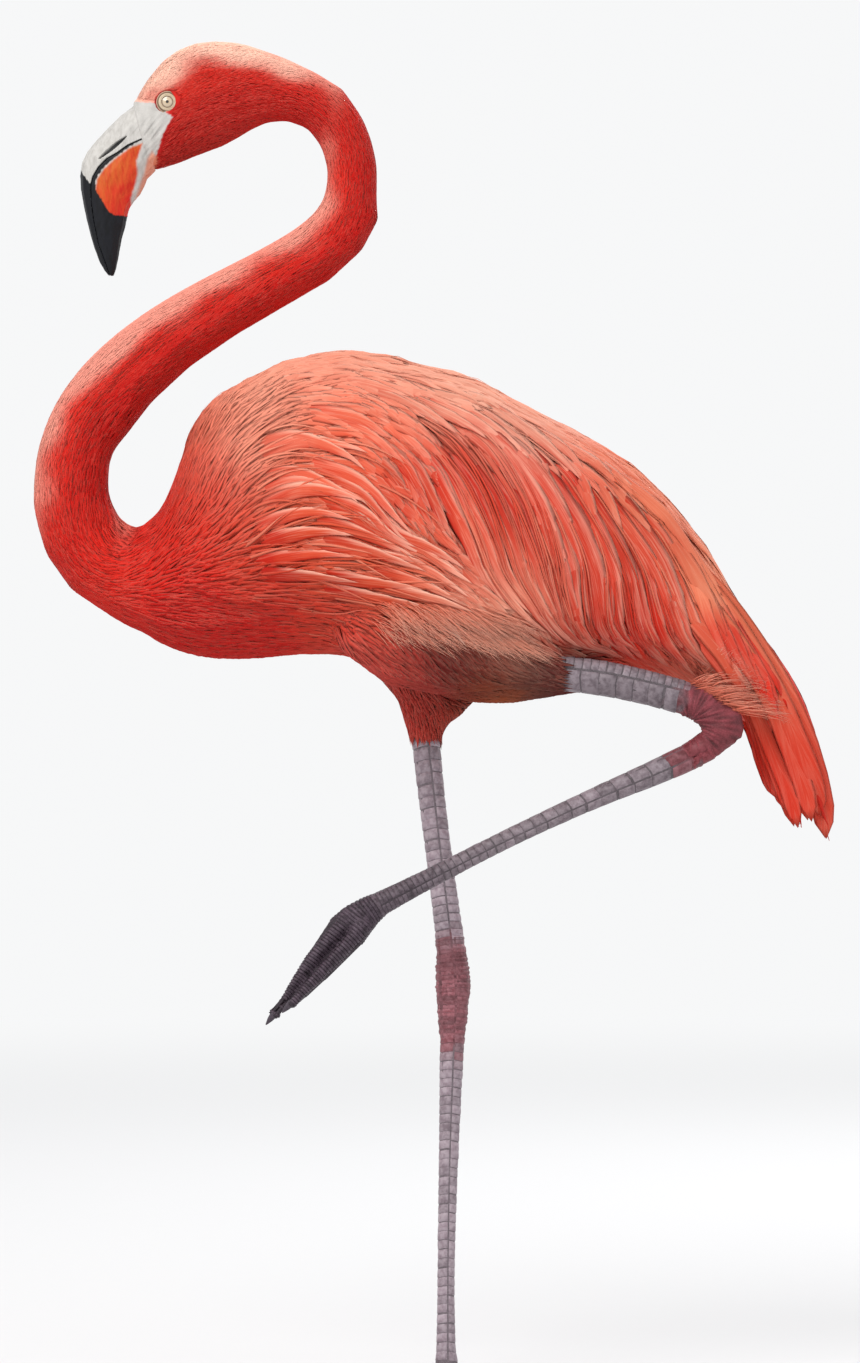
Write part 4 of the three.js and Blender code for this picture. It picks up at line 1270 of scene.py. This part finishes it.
def make_scutes(skin, name, limbs, material, seed):
    """One mesh of the plates on several limbs."""
    rng = np.random.default_rng(seed)
    parts, tints = [], []
    for line, step, sectors, rise, widest in limbs:
        for centre, heading, pitch in zip(*along_line(line, step)):
            for sector in sectors:
                made = plate(skin, centre, unit(heading), pitch, sector, rise, widest, rng)
                if made:
                    parts.append(made)
                    _, face, _ = skin.nearest(made[0][:1])
                    tint = skin.at("plate", face)[0] * rng.uniform(0.86, 1.16)
                    tints.append(np.tile(tint, (len(made[0]), 1)))
    points, faces = joined(parts)
    made = make_object(name, points, [faces[:, ::-1]], material)
    paint(made, "tint", np.clip(np.vstack(tints), 0, 1))
    paint(made, "bare", np.ones(len(points)))
    hand_over(made, "leg_skin")


# ---------- shader nodes ----------
class Nodes:
    """Adds nodes to a tree. Their inputs can be values or the outputs of other nodes."""

    def __init__(self, tree):
        self.tree = tree

    def put(self, kind, inputs=None, **settings):
        made = self.tree.nodes.new("ShaderNode" + kind)
        for key, value in settings.items():
            setattr(made, key, value)
        for key, value in (inputs or {}).items():
            self.give(made.inputs[key], value)
        return made

    def give(self, socket, value):
        if isinstance(value, bpy.types.NodeSocket):
            self.tree.links.new(value, socket)
        else:
            socket.default_value = value

    def calc(self, operation, a, b=0.0, clamp=False):
        return self.put("Math", {0: a, 1: b}, operation=operation, use_clamp=clamp).outputs[0]

    def plus(self, a, b, clamp=False):
        return self.calc("ADD", a, b, clamp)

    def minus(self, a, b, clamp=False):
        return self.calc("SUBTRACT", a, b, clamp)

    def times(self, a, b):
        return self.calc("MULTIPLY", a, b)

    def most(self, a, b):
        return self.calc("MAXIMUM", a, b)

    def mix(self, share, a, b):
        """Goes from colour a to colour b; both can be names of the palette."""
        a, b = ((*linear(c), 1.0) if isinstance(c, str) else c for c in (a, b))
        return self.put("Mix", {0: share, 6: a, 7: b}, data_type="RGBA").outputs[2]

    def rise(self, value, start, end):
        """Goes smoothly from 0 at start to 1 at end."""
        return self.put("MapRange", {0: value, 1: start, 2: end}, interpolation_type="SMOOTHSTEP").outputs[0]

    def fall(self, value, start, end):
        """Goes smoothly from 1 at start to 0 at end."""
        return self.minus(1.0, self.rise(value, start, end))

    def deeper(self, tint, power):
        return self.put("Gamma", {0: tint, 1: power}).outputs[0]

    def stored(self, name, output="Color"):
        return self.put("Attribute", attribute_name=name).outputs[output]

    def place(self):
        return self.put("TexCoord").outputs["Object"]

    def noise(self, vector, scale, detail=2.0, rough=0.5):
        inputs = {"Vector": vector, "Scale": scale, "Detail": detail, "Roughness": rough}
        return self.put("TexNoise", inputs).outputs[0]


def feather_web():
    """Colour and relief of a feather: barbs, shaft, painted shade on its covered root and front edge, a pale
    tip, and a painted highlight on its rear edge.
    """
    n = Nodes(bpy.data.node_groups.new("feather_web", "ShaderNodeTree"))
    sockets = n.tree.interface
    for label, value in (("Rim", 0.5), ("Streaks", 0.5), ("Shaft", 0.3), ("Root", 0.6), ("Slant", 0.2)):
        sockets.new_socket(label, in_out="INPUT", socket_type="NodeSocketFloat").default_value = value
    sockets.new_socket("Color", in_out="OUTPUT", socket_type="NodeSocketColor")
    sockets.new_socket("Height", in_out="OUTPUT", socket_type="NodeSocketFloat")
    given = n.tree.nodes.new("NodeGroupInput").outputs
    result = n.tree.nodes.new("NodeGroupOutput").inputs
    tint = n.stored("tint")
    along, across, chance = n.put("SeparateXYZ", {0: n.stored("vane", "Vector")}).outputs
    reach, off, _ = n.put("SeparateXYZ", {0: n.stored("web", "Vector")}).outputs
    off = n.calc("ABSOLUTE", off)
    barb = n.minus(off, n.times(reach, given["Slant"]))
    where = n.put("CombineXYZ", {0: barb, 1: n.times(reach, 0.03), 2: n.times(chance, 90.0)}).outputs[0]
    fine = n.noise(where, 1.1, 3.0, 0.6)
    streak = n.plus(n.times(fine, 0.65), n.times(n.noise(where, 0.35), 0.35))
    light = n.times(n.minus(streak, 0.5), given["Streaks"])
    # A painted highlight along the raised rear edge, and the feather's pale tip.
    rim = n.times(n.rise(across, 0.2, 1.0), n.rise(along, 0.1, 0.5))
    rim = n.most(rim, n.times(n.rise(along, 0.6, 1.0), 0.7))
    rim = n.plus(n.times(rim, given["Rim"]), light, clamp=True)
    # Painted shade on the root and the front edge, which lie under other feathers.
    root = n.most(n.fall(along, 0.05, 0.7), n.rise(across, 0.2, -1.0))
    root = n.minus(n.times(root, given["Root"]), light, clamp=True)
    deep = n.mix(0.4, n.deeper(tint, 1.4), "crimson")
    shown = n.mix(rim, n.mix(root, tint, deep), n.mix(0.6, tint, "petal"))
    shaft = n.times(n.fall(off, 0.15, 0.55), n.fall(along, 0.4, 0.95))
    n.give(result["Color"], n.mix(n.times(shaft, given["Shaft"]), shown, "petal"))
    n.give(result["Height"], n.plus(fine, n.times(shaft, 0.8)))
    return n.tree


def new_material(name, **values):
    """A material, its nodes and the inputs of its Principled shader, some of which are set to values."""
    made = bpy.data.materials.new(name)
    made.use_nodes = True
    made.node_tree.nodes.clear()
    n = Nodes(made.node_tree)
    shader = n.put("BsdfPrincipled")
    n.put("OutputMaterial", {0: shader.outputs[0]})
    for key, value in values.items():
        shader.inputs[key.replace("_", " ")].default_value = value
    return made, n, shader.inputs


def add_bump(n, shader, height, distance, strength):
    inputs = {"Height": height, "Distance": distance * MM, "Strength": strength}
    n.give(shader["Normal"], n.put("Bump", inputs).outputs[0])


def plumage_material(name, web, **shares):
    made, n, shader = new_material(name, Roughness=0.75, Specular_IOR_Level=0.12)
    group = n.put("Group", node_tree=web)
    for key, value in shares.items():
        group.inputs[key].default_value = value
    n.give(shader["Base Color"], group.outputs["Color"])
    add_bump(n, shader, group.outputs["Height"], 0.2, 0.6)
    return made


def skin_material():
    """Down and bare skin in one: wrinkled and scaly where the skin is bare, with painted shade in the creases
    between the scales.
    """
    made, n, shader = new_material("skin", Specular_IOR_Level=0.3)
    place, tint, bare = n.place(), n.stored("tint"), n.stored("bare", "Fac")
    mottle = n.noise(place, 160.0, 3.0)
    fine = n.noise(place, 900.0)
    cells = n.put("TexVoronoi", {"Vector": place, "Scale": 520.0}, feature="DISTANCE_TO_EDGE").outputs[0]
    # Painted shade: darker in the creases between the scale cells of bare skin.
    crease_shade = n.times(n.fall(cells, 0.0, 0.16), bare)
    share = n.plus(n.times(n.rise(mottle, 0.4, 0.75), 0.35), n.times(crease_shade, 0.4), clamp=True)
    n.give(shader["Base Color"], n.mix(share, tint, n.deeper(tint, 1.5)))
    n.give(shader["Roughness"], n.minus(0.85, n.times(bare, n.times(fine, 0.6))))
    add_bump(n, shader, n.plus(n.times(fine, 0.4), n.minus(1.0, crease_shade)), 0.22, 0.6)
    return made


def scute_material():
    made, n, shader = new_material("scute_horn", Specular_IOR_Level=0.35)
    place, tint = n.place(), n.stored("tint")
    mottle = n.noise(place, 240.0, 4.0, 0.6)
    fine = n.noise(place, 1500.0)
    n.give(shader["Base Color"], n.mix(n.rise(mottle, 0.35, 0.7), tint, n.deeper(tint, 1.4)))
    n.give(shader["Roughness"], n.plus(0.4, n.times(mottle, 0.3)))
    add_bump(n, shader, n.plus(mottle, n.times(fine, 0.5)), 0.2, 0.6)
    return made


def bill_material():
    made, n, shader = new_material("bill_horn", Specular_IOR_Level=0.25)
    place, tint = n.place(), n.stored("tint")
    drawn = n.put("Mapping", {"Vector": place, "Scale": (1.0, 1.0, 0.25)}).outputs[0]
    grain = n.noise(drawn, 420.0, 4.0, 0.6)
    speck = n.noise(place, 1300.0)
    n.give(shader["Base Color"], n.mix(n.rise(grain, 0.35, 0.75), tint, n.deeper(tint, 1.3)))
    n.give(shader["Roughness"], n.plus(0.4, n.times(speck, 0.25)))
    add_bump(n, shader, n.plus(grain, n.times(speck, 0.4)), 0.12, 0.5)
    return made


def claw_material():
    made, n, shader = new_material("claw_horn", Specular_IOR_Level=0.45)
    grain = n.noise(n.place(), 700.0, 3.0)
    n.give(shader["Base Color"], n.mix(grain, "ink", "plum"))
    n.give(shader["Roughness"], n.plus(0.25, n.times(grain, 0.35)))
    add_bump(n, shader, grain, 0.1, 0.5)
    return made


def eye_material():
    """A small pupil in a cream iris with fine fibres and a brown rim, under a clear wet front."""
    made, n, shader = new_material("eye", Roughness=0.25, Coat_Weight=1.0, Coat_Roughness=0.03)
    ring = n.stored("ring", "Fac")
    fibre = n.noise(n.place(), 2600.0, 3.0)
    iris = n.mix(n.times(fibre, 0.5), "cream", "sand")
    iris = n.mix(n.times(n.rise(ring, 3.2, 4.2), 0.6), iris, "umber")
    iris = n.mix(n.fall(ring, 1.35, 1.8), iris, "sand")
    n.give(shader["Base Color"], n.mix(n.fall(ring, 1.05, 1.3), iris, "pupil"))
    add_bump(n, shader, fibre, 0.03, 0.4)
    return made


def floor_material(backdrop):
    """A pale floor that fades into the colour behind it."""
    made, n, shader = new_material("studio_floor", Roughness=0.8, Specular_IOR_Level=0.1)
    place = n.place()
    n.give(shader["Base Color"], n.mix(n.times(n.noise(place, 60.0), 0.04), "paper", "bone"))
    far = n.put("VectorMath", {0: place}, operation="LENGTH").outputs["Value"]
    glow = n.put("Emission", {0: backdrop}).outputs[0]
    near = n.tree.nodes["Principled BSDF"].outputs[0]
    mixed = n.put("MixShader", {0: n.rise(far, 1.2, 5.0), 1: near, 2: glow}).outputs[0]
    n.give(n.tree.nodes["Material Output"].inputs[0], mixed)
    return made


# ---------- studio ----------
def add_light(name, place, aim, size, power, tone):
    data = bpy.data.lights.new(name, "AREA")
    data.shape = "DISK"
    data.size = size
    data.energy = power
    data.color = tone
    made = bpy.data.objects.new(name, data)
    made.location = place
    made.rotation_euler = (Vector(aim) - Vector(place)).to_track_quat("-Z", "Y").to_euler()
    bpy.context.scene.collection.objects.link(made)


def make_camera():
    camera = bpy.data.cameras.new("camera")
    camera.sensor_width = 36
    camera.lens = camera.sensor_width * VIEW_DISTANCE / VIEW_HEIGHT
    made = bpy.data.objects.new("camera", camera)
    made.location = (VIEW_MIDDLE[0], -VIEW_DISTANCE, VIEW_MIDDLE[1])
    made.rotation_euler = (math.pi / 2, 0, 0)
    bpy.context.scene.collection.objects.link(made)
    bpy.context.scene.camera = made


def make_studio():
    backdrop = (0.93, 0.935, 0.94, 1.0)
    world = bpy.data.worlds.new("studio")
    world.use_nodes = True
    world.node_tree.nodes["Background"].inputs[0].default_value = backdrop
    bpy.context.scene.world = world
    bpy.context.scene.view_settings.view_transform = "Standard"
    turn = 2 * math.pi * np.arange(96) / 96
    disc = FLOOR_RADIUS * np.column_stack([np.cos(turn), np.sin(turn), 0 * turn])
    make_object("floor", disc, [np.arange(96)[None]], floor_material(backdrop))
    add_light("key", (-1.7, -2.4, 3.1), (0, 0, 0.7), 2.6, 100, (1, 0.985, 0.96))
    add_light("fill", (2.6, -2.4, 1.2), (0, 0, 0.6), 2.2, 8, (0.95, 0.97, 1))
    add_light("back", (1.2, 2.6, 2.4), (0, 0, 0.7), 1.6, 45, (1, 1, 1))


# ---------- the flamingo ----------
def side_rows(skin, rows, apart, seed):
    """Roots in rows on both sides, seen from the side from one x, z to another, and each one's length."""
    rng = np.random.default_rng(seed)
    places, faces, lengths = [], [], []
    for start, end, count, (first, last) in rows:
        for share in np.linspace(0, 1, count):
            for side in (-1, 1):
                x, z = np.array(start) + share * (np.array(end) - start) + apart * rng.uniform(-1, 1, 2)
                place, face = skin.beside(float(x), float(z), side)
                if place:
                    places.append(place[:])
                    faces.append(face)
                    lengths.append(first + share * (last - first))
    return np.array(places), np.array(faces), np.array(lengths)


def coat_areas(skin):
    """The areas of the scattered feathers: name, faces, spacing, kind and material."""
    middle = skin.points[skin.faces].mean(1)
    count, leg, face, size = (skin.held[k][skin.faces].mean(1) for k in ("count", "leg", "face", "size"))
    eye = np.linalg.norm(middle[:, [0, 2]] - EYE_PLACE, axis=1) * np.where(count < 2, 1, 9)
    coat = (leg < 0.02) & (face < -0.7) & (eye > EYE_RINGS - 1.5)
    near_eye = np.where(eye < 22, 0.75, 1)
    even = np.ones(len(middle))
    left = middle[:, 1] < 0
    above, below = MIDDLE_NECK
    body = coat & (count > NECK_BASE) & (count < RUMP)
    tail = coat & (count >= RUMP) & (middle[:, 2] > 570)
    flank = inside(middle, FLANK) > 0
    long, wide = size.T
    soft = ~flank & (long < SOFT_LENGTH)
    plain = body & ~soft & ~flank
    return [
        ("head_plumage", coat & (count < NAPE), 1.0 * near_eye, dict(SMALL, width=0.65), "tuft"),
        ("nape_plumage", coat & (count >= NAPE) & (count < above), 1.3 * even, SMALL, "tuft"),
        ("middle_neck_plumage", coat & (count >= above) & (count < below), 1.5 * even, SMALL, "tuft"),
        ("lower_neck_plumage", coat & (count >= below) & (count <= NECK_BASE), 1.7 * even, SMALL, "tuft"),
        ("breast_plumage", body & soft & left, 0.45 * wide, SOFT, "tuft"),
        ("breast_plumage_right", body & soft & ~left, 0.45 * wide, SOFT, "tuft"),
        ("mantle_plumage", plain & left, 0.5 * wide, CONTOUR, "contour"),
        ("mantle_plumage_right", plain & ~left, 0.5 * wide, CONTOUR, "contour"),
        ("flank_underlay", body & flank, 0.9 * wide, dict(CONTOUR, lift=0.45), "contour"),
        ("tail_coverts", tail, 0.55 * wide, dict(CONTOUR, droop=0, lift=0.7), "red"),
        ("wisps", body & ~flank & (long > 30), 9 * even, WISP, "tuft"),
    ]


def make_plumage(skin):
    web = feather_web()
    wear = {
        key: plumage_material(name, web, Rim=rim, Streaks=streaks, Shaft=shaft, Root=root, Slant=slant)
        for key, name, rim, streaks, shaft, root, slant in PLUMAGE_LOOKS
    }
    for seed, (name, wanted, spacing, kind, look) in enumerate(coat_areas(skin), 10):
        starts, faces = scatter(skin, wanted, spacing, seed)
        feathers(skin, name, starts, faces, kind, wear[look], seed)
    for seed, (name, rows, kind) in enumerate(PLUME_ROWS, 40):
        starts, faces, lengths = side_rows(skin, rows, kind.get("apart", 0), seed)
        kind = {**PLUME, **kind, "long": lengths}
        feathers(skin, name, starts, faces, kind, wear[kind["wear"]], seed)
    for seed, (name, tone, rows) in enumerate(FANS, 50):
        make_fan(skin, name, tone, rows, wear["barb"], seed)
    make_tail(skin, wear["red"])
    make_tail_top(skin, wear["red"])


def make_fan(skin, name, tone, rows, material, seed):
    """Loose barbs between a line of roots and a line of tips, on both sides."""
    rng = np.random.default_rng(seed)
    t = np.linspace(0, 1, BARB["steps"] + 1)
    hung = []
    for (first, last), (first_tip, last_tip), count, off in rows:
        for side in (1, -1) * count:
            share = rng.uniform()
            root = np.array(first) + share * np.subtract(last, first) + rng.normal(0, 2, 2)
            share = np.clip(share + rng.normal(0, 0.09), 0, 1)
            tip = np.array(first_tip) + share * np.subtract(last_tip, first_tip) + rng.normal(0, 4.5, 2)
            start, face = skin.beside(*root.tolist(), side)
            if face is None:
                continue
            end, _ = skin.beside(*tip.tolist(), side)
            y = start[1] + t * ((end[1] if end else start[1]) - start[1])
            y = y + side * off * t**0.5 * rng.uniform(0.7, 1.2)
            bend = 5 * rng.uniform(-0.5, 1) * np.sin(math.pi * t)
            place = np.column_stack([root[0] + t * (tip - root)[0], y, root[1] + t * (tip - root)[1] + bend])
            hung.append((place, np.tile([0.0, side, 0.25], (len(t), 1)), start[:], face))
    along_given(skin, name, hung, dict(BARB, tone=tone), material, seed)


def make_tail_top(skin, material):
    """The middle feathers of the tail, which lie over its upper side."""
    across = np.linspace(-TAIL_TOP["half"], TAIL_TOP["half"], TAIL_TOP["count"])
    starts = np.column_stack([TAIL_TOP["x"] + 0 * across, across, TAIL_TOP["z"] + 0 * across])
    near, faces, _ = skin.nearest(starts)
    kind = dict(TAIL_TOP_FEATHER, long=TAIL_TOP["long"] - TAIL_TOP["shorter"] * np.abs(across))
    feathers(skin, "tail_top_feathers", near, faces, kind, material, 61)


def make_tail(skin, material):
    """The long tail feathers, each along its own line, on both sides of the tail."""
    steps = PLUME["steps"]
    share = np.linspace(0, 1, steps + 1)
    hung = []
    for order, line in enumerate(TAIL_LINES):
        curve, _ = smooth_curve(line)
        reach = lengths_along(curve)
        x, z = columns_at(np.linspace(0, reach[-1], steps + 1), reach, curve).T
        for side in (-1, 1):
            start, face = skin.beside(float(x[0]), float(z[0]), side)
            hits = [skin.beside(*at, side)[0] for at in zip(x.tolist(), z.tolist())]
            met = [k for k, hit in enumerate(hits) if hit]
            y = np.interp(np.arange(steps + 1), met, [abs(hits[k][1]) for k in met])
            y = np.minimum.accumulate(np.convolve(np.pad(y, 2, "edge"), np.full(5, 0.2), "valid"))
            y = side * (y + 0.9 * order + 3.5 * share**0.4)
            hung.append((np.column_stack([x, y, z]), np.tile([0.15, side, 0.1], (len(x), 1)), start[:], face))
    along_given(skin, "tail_feathers", hung, TAIL_FEATHER, material, 60)


def make_skin_object(skin, material):
    made = make_object("skin", skin.points, [skin.faces], material)
    paint(made, "tint", np.clip(skin.held["tint"], 0, 1))
    paint(made, "bare", skin.held["bare"])
    hand_over(made, "plumage", *(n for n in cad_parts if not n.startswith(NOT_FLESH)))


make_studio()
make_camera()
skin = make_skin()
bare_skin = skin_material()
make_skin_object(skin, bare_skin)
make_plumage(skin)
horn = bill_material()
make_bill("upper_bill", "bill_upper", "bill_lower", horn)
make_bill("lower_bill", "bill_lower", "bill_upper", horn)
wet = eye_material()
for side_name, side in (("left", -1), ("right", 1)):
    make_eye(skin, f"{side_name}_eye", f"eye_{side_name}", side, wet, bare_skin)
dark_horn = claw_material()
for side_name in ("left", "right"):
    make_claws(skin, side_name, dark_horn)
plates = scute_material()
for side_name in ("left", "right"):
    make_scutes(skin, f"scutes_{side_name}", LEG_SCUTES[side_name], plates, 70)
